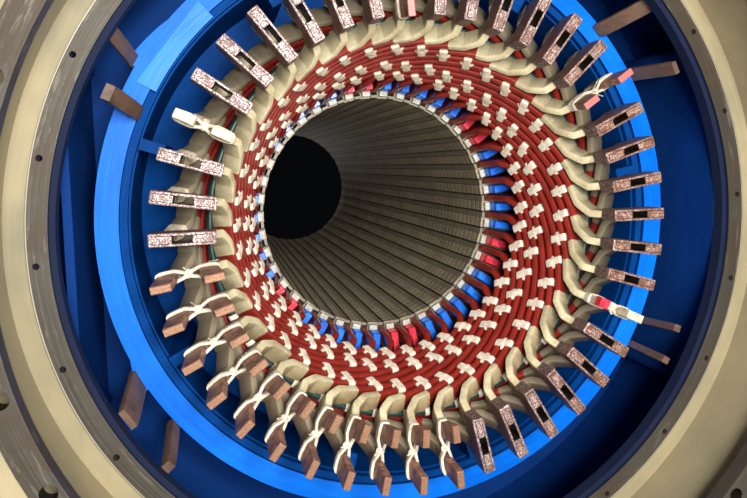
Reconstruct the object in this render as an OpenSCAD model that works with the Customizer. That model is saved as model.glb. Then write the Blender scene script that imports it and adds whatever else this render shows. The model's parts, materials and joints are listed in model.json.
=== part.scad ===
// Stator of a horizontal two-pole generator: a wound core in a cylindrical welded frame.
// The machine axis runs along Y, the photographed end faces -Y, +Z is up and +X is to
// the right of someone facing that end. The origin is on the floor under the middle.
// Angles run clockwise from the top, as seen by someone facing the photographed end.

/* [Core] */
// Radius of the bore that the rotor turns in
bore_r = 430; // [410:5:450]
// Length of the laminated core
core_len = 2980; // [2500:20:3200]
// Radial depth of the core, from the bore to its back
core_depth = 420; // [400:5:430]
// Number of slots and of coils
slot_count = 42; // [36:6:48]
// Width of a slot
slot_w = 24; // [23:0.5:30]
// Thickness of the plates that clamp the core
press_t = 60; // [40:5:80]
// Radial gap between the slots and those plates
press_gap = 12; // [6:1:20]
// Length of the fingers that press on the teeth
finger_l = 22; // [10:1:40]
// Distance of the fingers from the bore and from the slots beside them
finger_gap = 6; // [3:1:7]

/* [Winding] */
// Width of a bar with its insulation
bar_w = 22; // [18:0.5:22.5]
// Depth of a bar with its insulation
bar_h = 54; // [48:1:56]
// Thickness of the wedge that closes a slot
wedge_t = 12; // [8:1:16]
// Depth of a wedge's face under the bore
wedge_drop = 2; // [1:0.5:4]
// Depth of the dovetails that hold a wedge
wedge_dovetail = 5; // [3:0.5:6]
// Packing between the wedge and the upper bar
packing_t = 8; // [4:1:10]
// Separator between the two bars in a slot
separator_t = 12; // [8:1:16]
// Slots between the two sides of a coil
coil_pitch = 17; // [15:1:18]
// Straight stretch of a bar outside the core
straight_l = 165; // [140:5:180]
// End part of that stretch along which the bar already rises
rise_l = 36; // [20:2:60]
// Axial length of the bend out of the straight stretch
bend_l = 45; // [35:5:60]
// Axial length of the slanted stretch
slant_l = 274; // [250:2:300]
// Angle of the upper layer's cone to the axis
upper_cone = 17.1; // [15:0.1:19]
// Angle of the lower layer's cone to the axis
lower_cone = 22.5; // [21:0.1:24]
// Axial length of the turn into the clip
elbow_l = 46; // [35:1:60]
// Axial length from that turn to the clip
lead_l = 36; // [30:1:50]
// Length of the bare copper at a bar's end
bare_l = 75; // [60:1:90]

/* [Clips] */
// Open window between the two bar ends in a clip
window_h = 52; // [40:1:60]
// Thickness of a clip's copper wall
clip_wall = 6.5; // [4:0.5:8]
// Radius where the clips begin
clip_r = 602; // [590:1:620]
// Length of the bare copper where a coil has no clip yet
open_l = 96; // [75:1:100]
// Distance by which that copper leans away from the other bar's at its end
open_rise = 17; // [0:1:20]

/* [Winding supports] */
// Tube diameter of the insulated ring between the layers
ring_d = 22; // [16:1:26]
// Distance of that ring from the end of the slanted stretch
ring_in = 30; // [20:2:60]
// Length of the spacer blocks at the slot exits
spacer_l = 60; // [40:5:90]
// Width of the spacer blocks at the slot exits
spacer_w = 18; // [10:1:24]
// Distance of those blocks from the bore side of the upper bars
spacer_gap = 4; // [0:1:10]

/* [Core frame] */
// Wall of the shell round the core
shell_t = 22; // [15:1:30]
// Radial step from the shell's inside to the inner edge of its flanges
flange_step = 6; // [2:1:15]
// Radial width of the flange on each end of that shell
flange_w = 90; // [70:1:100]
// Thickness of that flange
flange_t = 36; // [25:1:50]
// Radial width of the lower lip along the flange's inner edge
flange_lip_w = 22; // [10:1:40]
// Depth of that lip under the flange's face
flange_lip_t = 14; // [5:1:20]
// Distance of the flange's face from the core's end
flange_out = 398; // [330:2:430]
// Thickness of the brackets inside the shell
bracket_t = 34; // [16:1:40]
// Radial depth of a bracket
bracket_d = 72; // [50:1:76]

/* [Casing] */
// Outer radius of the barrel
barrel_r = 1290; // [1250:5:1340]
// Wall of the barrel
barrel_t = 20; // [14:1:30]
// Thickness of the bulkheads that close the barrel round the winding's ends
bulkhead_t = 40; // [30:1:50]
// Distance of the bulkheads' outer faces from the core's ends
bulkhead_out = 633; // [610:1:700]
// Radius of the openings in the bulkheads
opening_r = 999; // [990:1:1010]
// Radial width of the machined seat ring round each opening
seat_w = 70; // [60:1:90]
// Height of that ring over the bulkhead
seat_t = 8; // [5:1:20]
// Width of the rebate along the seat ring's inner edge
rebate_w = 16; // [8:1:20]
// Depth of that rebate
rebate_t = 10; // [5:1:20]
// Radius of the screw holes in the seat ring
seat_hole_r = 8.5; // [6:0.5:12]
// Distance of those holes from the ring's outer edge
seat_hole_in = 21; // [15:1:30]
// Number of those holes
seat_holes = 24; // [12:12:36]
// Angle from the top to the first of them
seat_first = 12.3; // [0:0.1:15]
// Inner radius of the recess between the bulkhead and the barrel's end
recess_r = 1122; // [1110:1:1135]
// Wall of that recess
recess_t = 20; // [12:1:30]
// Inner radius of the outer machined ring
rim_r = 1070; // [1060:1:1080]
// Radial width of that ring
rim_w = 67; // [60:1:80]
// Thickness of that ring
rim_t = 42; // [38:1:60]
// Distance of that ring's face from the core's end
rim_out = 931; // [880:1:980]
// Radius of the bolt holes in that ring
rim_hole_r = 19.5; // [12:0.5:24]
// Distance of those holes from the ring's inner edge
rim_hole_in = 30; // [26:1:40]
// Number of those holes
rim_holes = 30; // [12:6:36]
// Angle from the top to the first of them
rim_first = 2.6; // [0:0.1:12]
// Thickness of the plates that close the barrel outside that ring
end_t = 36; // [25:1:42]
// Thickness of the annular webs inside the barrel
web_t = 25; // [15:1:40]
// Thickness of the plates that run along inside the barrel
stringer_t = 25; // [15:1:40]
// Distance of the upright side plates from the middle
side_x = 1010; // [985:5:1060]
// Height of the side plates' upper edge over the machine axis
side_up = 530; // [400:10:600]
// Depth of their lower edge under the machine axis
side_down = 614; // [400:2:640]
// Diameter of the round edges of the side plates
side_edge_d = 50; // [30:2:60]
// Distance of the left side plates' free ends from the core's ends
side_out = 430; // [300:10:560]
// Width of the bands round the barrel
band_l = 60; // [40:5:100]
// Height of the bands round the barrel
band_h = 30; // [20:5:60]

/* [Feet] */
// Gap between the barrel and the floor
floor_gap = 110; // [80:5:200]
// Distance of each foot's middle from the side of the barrel
foot_inset = 330; // [290:5:380]
// Width of a foot's base plate
foot_w = 460; // [400:10:520]
// Length of the feet
foot_l = 3900; // [3000:50:4400]
// Height of the feet
foot_h = 860; // [700:10:950]
// Thickness of the base plates
foot_t = 60; // [40:5:80]
// Thickness of the feet's upright and cross plates
foot_web_t = 40; // [25:5:60]
// Number of cross plates on a foot
foot_ribs = 6; // [4:1:8]
// Distance of the cross plates' edges from the base plate's edges
foot_rib_in = 20; // [0:5:40]
// Radius of the foundation bolt holes
foot_hole_r = 22; // [15:1:30]
// Distance between a foot's bolt holes across the machine
foot_bolt_x = 320; // [260:10:340]
// Distance of those holes from the foot's ends
foot_bolt_in = 200; // [120:10:400]

/* [Leads] */
// Width of a phase lead
lead_w = 46; // [30:2:60]
// Thickness of a phase lead
lead_t = 18; // [8:1:24]
// Distance that the leads reach beyond the flange
lead_out = 190; // [120:5:220]

/* [Hidden] */
$fn = 120;

// Clearance where one piece seats on another
fit = 0.3;
// How far a cutting shape reaches past what it cuts
cut = 5;
pitch = 360 / slot_count;
half_core = core_len / 2;
core_r = bore_r + core_depth;
upper_r = bore_r + wedge_t + packing_t;
lower_r = upper_r + bar_h + separator_t;
slot_bottom_r = lower_r + bar_h + fit;

// The winding overhang, measured outwards from the core's end face
bend_y = straight_l + bend_l;
slant_y = bend_y + slant_l;
elbow_y = slant_y + elbow_l;
bare_y = elbow_y + lead_l;
tip_y = bare_y + bare_l;
flare_y = straight_l - rise_l;
bend_turn = 0.3;
elbow_turn = 0.4;
slant_turn = coil_pitch / 2 - bend_turn - elbow_turn;
upper_end_r = clip_r + clip_wall;
lower_end_r = upper_end_r + bar_h + window_h;
clip_end_r = lower_end_r + bar_h + clip_wall;
clip_w = bar_w + 2 * (clip_wall + fit);
// Coils, clockwise from the top, whose two bar ends are still bare and have no clip
open_clips = concat([33, 40], [for (k = [12:22]) k]);

// The frame round the core
shell_r = core_r + fit;
shell_end = half_core + flange_out;
flange_inner_r = shell_r + flange_step;
flange_r = flange_inner_r + flange_w;
// Angles of the brackets inside the shell, clockwise from the top
bracket_angles = [30, 81, 122, 165, 195, 242, 288, 330];

// The casing
barrel_inner_r = barrel_r - barrel_t;
rim_back = rim_out - rim_t;
barrel_end = half_core + rim_back - fit;
web_y = [-half_core + web_t / 2, 0, half_core - web_t / 2];
// The right side plates run on to the bulkheads
side_reach = [bulkhead_out - bulkhead_t - fit, side_out];
seat_r = opening_r + seat_w;
rim_end_r = rim_r + rim_w;
axis_z = barrel_r + floor_gap;
foot_x = barrel_r - foot_inset;
// Phase leads: angle, radius at the flange, radius at the free end, flat side to the axis
leads = [
    [49, 905, 1032, true], [61.5, 893, 971, false],
    [114.7, 893, 948, false], [120.7, 899, 975, false],
    [230.5, 890, 1008, false], [241.7, 905, 1005, true],
    [294, 880, 945, true], [302, 893, 1011, false]
];

// Turns children to a place on the clock, from the top
module at_angle(a) {
    rotate([0, a, 0]) children();
}

// A ring round the machine axis that starts at y and runs along +Y
module ring(inner, outer, y, length) {
    translate([0, y, 0])
        rotate([-90, 0, 0])
            difference() {
                cylinder(r = outer, h = length);
                if (inner > 0)
                    translate([0, 0, -cut])
                        cylinder(r = inner, h = length + 2 * cut);
            }
}

// Lifts what is modelled round the axis to its height over the floor
module on_axis() {
    translate([0, 0, axis_z]) children();
}

// Places what is modelled outwards from a core face at the front or rear of the machine
module front_end() {
    on_axis()
        translate([0, -half_core, 0])
            mirror([0, 1, 0]) children();
}

module rear_end() {
    on_axis()
        translate([0, half_core, 0]) children();
}

// The involute function of the angle whose cosine is base / r
function involute(base, r) = let (psi = acos(base / r)) tan(psi) - psi * PI / 180;

// Degrees that a bar turns round a cone between two radii when its neighbours keep
// their distance, so that base = distance * slot_count / (2 * PI)
function cone_turn(base, r1, r2, cone) =
    (involute(base, r2) - involute(base, r1)) / sin(cone) * 180 / PI;

// The base whose turn between the radii is the wanted one, by halving the interval
function find_base(r1, r2, cone, turn, low, high, steps) =
    let (mid = (low + high) / 2)
        steps == 0 ? mid
        : cone_turn(mid, r1, r2, cone) > turn
            ? find_base(r1, r2, cone, turn, mid, high, steps - 1)
            : find_base(r1, r2, cone, turn, low, mid, steps - 1);

// A layer's cone has radius r0 until flare_y
function cone_r(r0, cone, y) = r0 + max(0, y - flare_y) * tan(cone);

// Stations of a bar: distance from the core, radius of its bore side, degrees turned
function slant_stations(r0, cone, base, parts) =
    let (r1 = cone_r(r0, cone, bend_y))
        [for (k = [0:parts])
            let (y = bend_y + slant_l * k / parts, r = cone_r(r0, cone, y))
                [y, r, bend_turn * pitch + cone_turn(base, r1, r, cone)]];

function stations(r0, cone, end_r) =
    let (
        r1 = cone_r(r0, cone, bend_y),
        r2 = cone_r(r0, cone, slant_y),
        turn = slant_turn * pitch,
        base = find_base(r1, r2, cone, turn, 1, r1 * 0.999, 40),
        full = coil_pitch / 2 * pitch,
        blend = 0.45
    )
        concat(
            [[0, r0, 0], [straight_l, cone_r(r0, cone, straight_l), 0]],
            slant_stations(r0, cone, base, 4),
            [[elbow_y, r2 + (end_r - r2) * blend, full], [bare_y, end_r, full]]
        );

function place(s, hand) = [s[1] * sin(hand * s[2]), s[0], s[1] * cos(hand * s[2])];
function unit(v) = v / norm(v);

// The four corners of a bar at station k: its bore side first, then its back
function corners(st, k, hand) =
    let (
        last = len(st) - 1,
        p = place(st[k], hand),
        before = st[max(k - 1, 0)],
        after = st[min(k + 1, last)],
        along = k == 0 || k == last ? [0, 1, 0]
            : unit(unit(place(after, hand) - p) + unit(p - place(before, hand))),
        slope = k == 0 || k == last ? 0 : atan2(after[1] - before[1], after[0] - before[0]),
        a = hand * st[k][2],
        out = [cos(slope) * sin(a), -sin(slope), cos(slope) * cos(a)],
        side = unit(cross(along, out)) * bar_w / 2,
        back = unit(cross(side, along)) * bar_h
    )
        [p - side, p + side, p + side + back, p - side + back];

// One overhanging bar, swept through its stations
module bar(st, hand) {
    n = len(st);
    points = [for (k = [0:n - 1]) each corners(st, k, hand)];
    sides = [for (k = [0:n - 2]) each [for (j = [0:3])
        let (a = 4 * k + j, b = 4 * k + (j + 1) % 4)
            each [[a, b, b + 4], [a, b + 4, a + 4]]]];
    last = 4 * (n - 1);
    caps = [[3, 2, 1], [3, 1, 0], [last, last + 1, last + 2], [last, last + 2, last + 3]];
    polyhedron(points = points, faces = concat(sides, caps));
}

module upper_overhang() {
    st = stations(upper_r, upper_cone, upper_end_r);
    color("firebrick")
        for (k = [0:slot_count - 1])
            at_angle(k * pitch) bar(st, 1);
}

module lower_overhang() {
    st = stations(lower_r, lower_cone, lower_end_r);
    color("firebrick")
        for (k = [0:slot_count - 1])
            at_angle(k * pitch) bar(st, -1);
}

// Bare copper at the end of one bar, which leans by rise at its tip
module bar_end(r, length, rise) {
    far = bare_y + length;
    translate([-bar_w / 2, 0, 0])
        rotate([90, 0, 90])
            linear_extrude(bar_w)
                polygon([[bare_y, r], [far, r + rise], [far, r + rise + bar_h], [bare_y, r + bar_h]]);
}

// Bar ends lie straight in their clips; those of the given coils are longer and spread
module bar_ends(bare) {
    color("rosybrown")
        for (k = [0:slot_count - 1])
            at_angle((k + coil_pitch / 2) * pitch)
                if (len(search(k, bare)) == 0) {
                    bar_end(upper_end_r, bare_l, 0);
                    bar_end(lower_end_r, bare_l, 0);
                } else {
                    bar_end(upper_end_r, open_l, -open_rise);
                    bar_end(lower_end_r, open_l, open_rise);
                }
}

// A copper clip is a sleeve round the two bar ends, open between them
module clip() {
    difference() {
        translate([-clip_w / 2, bare_y, clip_r])
            cube([clip_w, bare_l, clip_end_r - clip_r]);
        translate([-bar_w / 2 - fit, bare_y - cut, upper_end_r - fit])
            cube([bar_w + 2 * fit, bare_l + 2 * cut, clip_end_r - clip_r - 2 * (clip_wall - fit)]);
    }
}

// Clips at every coil but those in the given list
module clips(bare) {
    color("rosybrown")
        for (k = [0:slot_count - 1])
            if (len(search(k, bare)) == 0)
                at_angle((k + coil_pitch / 2) * pitch) clip();
}

// Bars that fill the slots, one layer
module slot_bars(r) {
    color("firebrick")
        on_axis()
            for (k = [0:slot_count - 1])
                at_angle(k * pitch)
                    translate([-bar_w / 2, -half_core, r])
                        cube([bar_w, core_len, bar_h]);
}

module upper_slot_bars() {
    slot_bars(upper_r);
}

module lower_slot_bars() {
    slot_bars(lower_r);
}

// Outline of one slot, open to the bore, with dovetails for the wedge
module slot_outline() {
    translate([-slot_w / 2, bore_r - cut])
        square([slot_w, slot_bottom_r - bore_r + cut]);
    wedge_outline(fit);
}

// Outline of a wedge with a given clearance round it
module wedge_outline(gap) {
    half = slot_w / 2 + wedge_dovetail;
    low = bore_r + wedge_drop;
    high = bore_r + wedge_t;
    polygon([
        [-slot_w / 2 - gap, low - gap], [slot_w / 2 + gap, low - gap],
        [half + gap, (low + high) / 2],
        [slot_w / 2 + gap, high + gap], [-slot_w / 2 - gap, high + gap],
        [-half - gap, (low + high) / 2]
    ]);
}

// Extrudes an outline in X and Z along Y, over the whole core
module along_core(length) {
    translate([0, length / 2, 0])
        rotate([90, 0, 0])
            linear_extrude(length) children();
}

module stator_core() {
    color("dimgray")
        on_axis()
            along_core(core_len)
                difference() {
                    circle(r = core_r);
                    circle(r = bore_r);
                    for (k = [0:slot_count - 1])
                        rotate(-k * pitch) slot_outline();
                }
}

module slot_wedges() {
    color("tan")
        on_axis()
            along_core(core_len)
                for (k = [0:slot_count - 1])
                    rotate(-k * pitch) wedge_outline(0);
}

// A clamping plate lies on the back of the core, outside the slots
module press_plate() {
    color("slategray")
        ring(slot_bottom_r + press_gap, core_r, fit, press_t);
}

// Fingers carry the clamping force from the plate to the teeth
module tooth_fingers() {
    low = bore_r + finger_gap;
    high = slot_bottom_r + press_gap - fit;
    tooth_w = 2 * PI * low / slot_count - slot_w - 2 * finger_gap;
    color("gainsboro")
        for (k = [0:slot_count - 1])
            at_angle((k + 0.5) * pitch)
                translate([-tooth_w / 2, fit, low])
                    cube([tooth_w, finger_l, high - low]);
}

// Blocks that hold the bars apart where they leave the slots
module spacers() {
    color("dodgerblue")
        for (k = [0:slot_count - 1])
            at_angle((k + 0.5) * pitch)
                translate([-spacer_w / 2, finger_l + 2 * fit, upper_r + spacer_gap])
                    cube([spacer_w, spacer_l, lower_r + bar_h - upper_r - spacer_gap]);
}

// An insulated ring lies in the gap between the two layers, under the lower bars
module support_ring() {
    y = slant_y - ring_in;
    upper_back = cone_r(upper_r, upper_cone, y) + bar_h / cos(upper_cone);
    color("darkslategray")
        translate([0, y, 0])
            rotate([-90, 0, 0])
                rotate_extrude()
                    translate([upper_back + (ring_d / 2 + fit) / cos(upper_cone), 0])
                        circle(d = ring_d, $fn = 24);
}

module core_shell() {
    color("navy")
        on_axis()
            ring(shell_r, shell_r + shell_t, -shell_end + flange_t, 2 * (shell_end - flange_t));
}

// The flange on the shell's end, with a lower lip along its inner edge
module shell_flange() {
    color("dodgerblue")
        difference() {
            ring(flange_inner_r, flange_r, flange_out - flange_t, flange_t);
            ring(0, flange_inner_r + flange_lip_w, flange_out - flange_lip_t, flange_lip_t + cut);
        }
}

module brackets() {
    color("mediumblue")
        for (a = bracket_angles)
            at_angle(a)
                translate([-bracket_t / 2, press_t + 2 * fit, shell_r - bracket_d])
                    cube([bracket_t, flange_out - press_t - 2 * fit, bracket_d - fit]);
}

// A web joins the shell round the core to the barrel
module web(k) {
    color("midnightblue")
        on_axis()
            ring(shell_r + shell_t + fit, barrel_inner_r - fit, web_y[k] - web_t / 2, web_t);
}

module front_web() {
    web(0);
}

module middle_web() {
    web(1);
}

module rear_web() {
    web(2);
}

// Radial plates along the barrel between the webs
module radial_stringers() {
    low = shell_r + shell_t + fit;
    high = barrel_inner_r * cos(asin(stringer_t / 2 / barrel_inner_r)) - fit;
    for (a = [60, 120, 240, 300])
        at_angle(a)
            translate([-stringer_t / 2, web_t / 2 + fit, low])
                cube([stringer_t, half_core - 1.5 * web_t - 2 * fit, high - low]);
}

// An upright plate beside the shell, with round edges, from the web out to the given distance
module side_plate(reach) {
    translate([side_x - stringer_t / 2, fit, -side_down])
        cube([stringer_t, reach - fit, side_up + side_down]);
    for (z = [-side_down, side_up])
        translate([side_x, fit, z])
            rotate([-90, 0, 0])
                cylinder(d = side_edge_d, h = reach - fit);
}

// Plates that run along inside the barrel
module stringers() {
    color("midnightblue") {
        on_axis()
            for (end = [0, 1])
                mirror([0, end, 0]) radial_stringers();
        for (side = [0, 1]) {
            front_end() mirror([side, 0, 0]) side_plate(side_reach[side]);
            rear_end() mirror([side, 0, 0]) side_plate(side_reach[side]);
        }
    }
}

// A quarter of the barrel round the given angle
module casing_quarter(a) {
    far = 2 * barrel_r;
    color("wheat")
        on_axis()
            intersection() {
                ring(barrel_inner_r, barrel_r, -barrel_end, 2 * barrel_end);
                at_angle(a)
                    along_core(3 * barrel_end)
                        polygon([[0, 0], [far, far], [-far, far]]);
            }
}

module casing_top() {
    casing_quarter(0);
}

module casing_right() {
    casing_quarter(90);
}

module casing_bottom() {
    casing_quarter(180);
}

module casing_left() {
    casing_quarter(270);
}

// Closes the barrel outside the outer machined ring
module end_plate() {
    color("wheat")
        ring(rim_end_r + fit, barrel_r, rim_back, end_t);
}

// Closes the barrel round the winding's end and carries the seat ring
module bulkhead() {
    color("wheat")
        ring(seat_r + fit, barrel_inner_r - fit, bulkhead_out - bulkhead_t, bulkhead_t);
}

// Cylindrical wall from the bulkhead out to the outer machined ring
module recess_wall() {
    color("wheat")
        ring(recess_r, recess_r + recess_t, bulkhead_out + fit, rim_back - bulkhead_out - 2 * fit);
}

// Holes round the axis, drilled through what reaches from y over the given depth
module hole_circle(count, first, r, hole_r, y, depth) {
    for (k = [0:count - 1])
        at_angle(first + k * 360 / count)
            translate([0, y - cut, r])
                rotate([-90, 0, 0])
                    cylinder(r = hole_r, h = depth + 2 * cut);
}

// Machined ring that takes the inner cover, with a rebate and tapped holes
module seat_ring() {
    y = bulkhead_out - bulkhead_t;
    length = bulkhead_t + seat_t;
    color("gray")
        difference() {
            ring(opening_r, seat_r, y, length);
            ring(0, opening_r + rebate_w, y + length - rebate_t, rebate_t + cut);
            hole_circle(seat_holes, seat_first, seat_r - seat_hole_in, seat_hole_r, y, length);
        }
}

// Machined ring at the barrel's end that takes the end shield's bolts
module rim_ring() {
    color("gray")
        difference() {
            ring(rim_r, rim_end_r, rim_back, rim_t);
            hole_circle(rim_holes, rim_first, rim_r + rim_hole_in, rim_hole_r, rim_back, rim_t);
        }
}

// Bands that stiffen the barrel from outside, over the webs
module barrel_bands() {
    color("wheat")
        on_axis()
            for (y = web_y)
                ring(barrel_r + fit, barrel_r + band_h, y - band_l / 2, band_l);
}

// Plates of a foot, up to its full height
module foot_plates(x) {
    rib_step = (foot_l - foot_web_t) / (foot_ribs - 1);
    rib_w = foot_w - 2 * foot_rib_in;
    translate([x - foot_w / 2, -foot_l / 2, 0])
        cube([foot_w, foot_l, foot_t]);
    translate([x - foot_web_t / 2, -foot_l / 2, foot_t - cut])
        cube([foot_web_t, foot_l, foot_h - foot_t + cut]);
    for (k = [0:foot_ribs - 1])
        translate([x - rib_w / 2, -foot_l / 2 + k * rib_step, foot_t - cut])
            cube([rib_w, foot_web_t, foot_h - foot_t + cut]);
}

// A cylinder along the machine axis that cuts the feet, fine enough for their long edges
module foot_cutter(r, y, length) {
    translate([0, y, 0])
        rotate([-90, 0, 0])
            cylinder(r = r, h = length, $fn = 360);
}

// A foot with its middle at x, cut to the barrel and its bands
module foot(x) {
    color("wheat")
        difference() {
            foot_plates(x);
            on_axis() {
                foot_cutter(barrel_r + fit, -foot_l, 2 * foot_l);
                for (y = web_y)
                    foot_cutter(barrel_r + band_h + fit, y - band_l / 2 - fit, band_l + 2 * fit);
            }
            for (side = [-1, 1])
                for (y = [-1, 1])
                    translate([x + side * foot_bolt_x / 2, y * (foot_l / 2 - foot_bolt_in), -cut])
                        cylinder(r = foot_hole_r, h = foot_t + 2 * cut);
        }
}

module left_foot() {
    foot(-foot_x);
}

module right_foot() {
    foot(foot_x);
}

// A bar that leans outwards from the flange, with depth d along the radius and width w
module lead(r1, r2, d, w) {
    y = flange_out + fit;
    translate([-w / 2, 0, 0])
        rotate([90, 0, 90])
            linear_extrude(w)
                polygon([[y, r1], [y, r1 + d], [y + lead_out, r2], [y + lead_out, r2 - d]]);
}

// Copper leads in pairs, one flat and one on edge, from the flange outwards
module phase_leads() {
    color("saddlebrown")
        front_end()
            for (l = leads)
                at_angle(l[0])
                    if (l[3])
                        lead(l[1], l[2], lead_t, lead_w);
                    else
                        lead(l[1], l[2], lead_w, lead_t);
}

casing_top();
casing_left();
casing_right();
casing_bottom();
front_end() end_plate();  // front_end_plate
rear_end() end_plate();  // rear_end_plate
union() {  // bulkheads
    front_end() bulkhead();
    rear_end() bulkhead();
}
union() {  // recess_walls
    front_end() recess_wall();
    rear_end() recess_wall();
}
front_end() seat_ring();  // front_seat_ring
rear_end() seat_ring();  // rear_seat_ring
front_end() rim_ring();  // front_rim_ring
rear_end() rim_ring();  // rear_rim_ring
front_web();
middle_web();
rear_web();
stringers();
barrel_bands();
left_foot();
right_foot();
core_shell();
front_end() shell_flange();  // front_shell_flange
rear_end() shell_flange();  // rear_shell_flange
front_end() brackets();  // front_brackets
rear_end() brackets();  // rear_brackets
stator_core();
front_end() press_plate();  // front_press_plate
rear_end() press_plate();  // rear_press_plate
front_end() tooth_fingers();  // front_tooth_fingers
rear_end() tooth_fingers();  // rear_tooth_fingers
slot_wedges();
upper_slot_bars();
lower_slot_bars();
front_end() upper_overhang();  // front_upper_bars
front_end() lower_overhang();  // front_lower_bars
rear_end() upper_overhang();  // rear_upper_bars
rear_end() lower_overhang();  // rear_lower_bars
front_end() bar_ends(open_clips);  // front_bar_ends
rear_end() bar_ends([]);  // rear_bar_ends
front_end() clips(open_clips);  // front_clips
rear_end() clips([]);  // rear_clips
front_end() support_ring();  // front_support_ring
rear_end() support_ring();  // rear_support_ring
front_end() spacers();  // front_spacers
rear_end() spacers();  // rear_spacers
phase_leads();
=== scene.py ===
import json
import math

import bpy
import numpy as np
from bpy.props import FloatProperty, FloatVectorProperty, IntProperty
from mathutils import Matrix, Vector


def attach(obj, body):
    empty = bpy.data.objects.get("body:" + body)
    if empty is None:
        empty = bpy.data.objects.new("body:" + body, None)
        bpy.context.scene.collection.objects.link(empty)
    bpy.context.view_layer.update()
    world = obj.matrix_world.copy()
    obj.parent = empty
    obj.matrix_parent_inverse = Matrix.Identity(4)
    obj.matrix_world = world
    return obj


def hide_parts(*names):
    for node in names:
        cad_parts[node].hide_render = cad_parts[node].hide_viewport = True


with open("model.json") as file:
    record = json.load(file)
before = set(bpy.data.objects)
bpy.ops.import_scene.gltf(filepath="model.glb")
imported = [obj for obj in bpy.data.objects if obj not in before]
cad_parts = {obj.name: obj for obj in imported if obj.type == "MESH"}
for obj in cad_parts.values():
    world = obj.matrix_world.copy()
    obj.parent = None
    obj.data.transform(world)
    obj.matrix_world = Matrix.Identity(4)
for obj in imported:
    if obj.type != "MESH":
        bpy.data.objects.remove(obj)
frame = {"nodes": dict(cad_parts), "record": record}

bl_info = {
    "name": "Stator Dressing",
    "version": (1, 0, 0),
    "blender": (4, 5, 0),
    "location": "View3D > Sidebar > Stator",
    "description": "Finishes a wound generator stator: bars, lacing, clips, blocks, welds and materials",
    "category": "Object",
}

# The machine's own values, as the solids have them, in metres and radians
AXIS_Z = 1.4
CORE_END = 1.49
SLOTS = 42
PITCH = 2 * math.pi / SLOTS
FRONT, REAR = -1, 1
ENDS = ((FRONT, "front"), (REAR, "rear"))
BAR_W, BAR_H = 0.022, 0.054
UPPER_R, LOWER_R = 0.450, 0.516
UPPER_CONE, LOWER_CONE = math.radians(17.1), math.radians(22.5)
UPPER_END_R, LOWER_END_R = 0.6085, 0.7145
FLARE_Y, STRAIGHT_Y, BEND_Y, SLANT_Y, ELBOW_Y = 0.129, 0.165, 0.210, 0.484, 0.530
BARE_Y, TIP_Y = 0.566, 0.641
BEND_TURN, SLANT_TURN, FULL_TURN = 0.3 * PITCH, 7.8 * PITCH, 8.5 * PITCH
CLIP_W, CLIP_R, CLIP_END_R, CLIP_WALL = 0.0356, 0.602, 0.775, 0.0065
BORE_R = 0.430
RING_Y = SLANT_Y - 0.030
SHELL_R, FLANGE_OUT = 0.8795, 0.398
BARREL_R, BULKHEAD_R, BULKHEAD_Y = 1.290, 1.2802, 2.100
SEAT_LIP_R, SEAT_LIP_Y, SEAT_EDGE_R = 1.0152, 2.15, 1.0665
RIM_R, RIM_HOLE_R = 1.100, 0.0199
RIM_STEP, RIM_FIRST = math.radians(12.0), math.radians(2.6)
FLANGE_BACK, LEAD_END = FLANGE_OUT - 0.034, 0.588

# Which coils are open, pink or pale, which blocks are red, and the sizes of what the looks add
PINK_CLIPS, PALE_CLIPS = [33, 40], [5, 26]
OPEN_CLIPS = [*PINK_CLIPS, *range(12, 23)]
OPEN_L, OPEN_RISE, OPEN_SLEW = 0.096, 0.017, -0.013
RED_BLOCKS = [5, 6, 12, 13, 19, 20, 26, 27, 33, 34, 40, 41]
LACING_AT = (0.252, 0.331, 0.445)
LEAD_BANDS_LEFT = [0.060, 0.040, 0.012]
CHAMFER, STRAND_CORNER, BLOCK_CORNER = 0.0015, 0.0016, 0.002
TIE_R, CORD_GAP = 0.0135, 0.004
PLATE_IN, PLATE_OUT, PLATE_ANGLES, PLATE_MIDDLE = 0.8605, 0.909, (298.7, 317.4), math.radians(308.1)
TAB_IN, TAB_OUT, TAB_RISE, TAB_ANGLES = 0.9400, 0.9455, 0.028, ((301.0, 311.5), (240.0, 246.5))
WELD_BANDS, WELD_ASIDE, WELD_HALF = (-1.0, 0.0, 1.0), 0.0315, 0.006
SEED = 7


def size(name, default, description):
    return FloatProperty(name=name, description=description, default=default, unit="LENGTH")


def hue(name, default, description):
    return FloatVectorProperty(name=name, description=description, default=default, subtype="COLOR")


class StatorWinding(bpy.types.PropertyGroup):
    """Sizes of the taped bars and what binds them"""
    corner: size("Bar corner", 0.0038, "Radius of a taped bar's corners")
    sleeve: size("Sleeve", 0.0012, "How far the cream tape stands proud")
    upper_cover: size("Upper cream length", 0.155, "Cream tape on an upper bar, from its clip")
    lower_cover: size("Lower cream length", 0.215, "Cream tape on a lower bar, from its clip")
    lacing_w: size("Lacing width", 0.026, "Width of a lacing strip")
    lacing_t: size("Lacing thickness", 0.0032, "Thickness of a lacing strip")
    stations: IntProperty(name="Stations", description="Sections along one bar", default=46, min=12, max=120)


class StatorColours(bpy.types.PropertyGroup):
    """Colours of the finishes"""
    red: hue("Red varnish", (0.30, 0.022, 0.014), "Finishing varnish on the bars")
    cream: hue("Cream tape", (0.57, 0.495, 0.305), "Bare insulating tape")
    white: hue("White lacing", (0.77, 0.70, 0.56), "Lacing tape and cord")
    blue: hue("Bright blue", (0.001, 0.128, 0.68), "Paint of the core frame")
    navy: hue("Navy", (0.003, 0.031, 0.17), "Paint inside the casing")
    casing: hue("Casing cream", (0.225, 0.23, 0.150), "Paint of the casing")
    copper: hue("Brazed copper", (0.42, 0.25, 0.21), "Clips and bar ends")
    steel: hue("Machined steel", (0.064, 0.055, 0.042), "Seat and rim rings")
    core: hue("Core", (0.31, 0.26, 0.165), "Varnished laminations")


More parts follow.
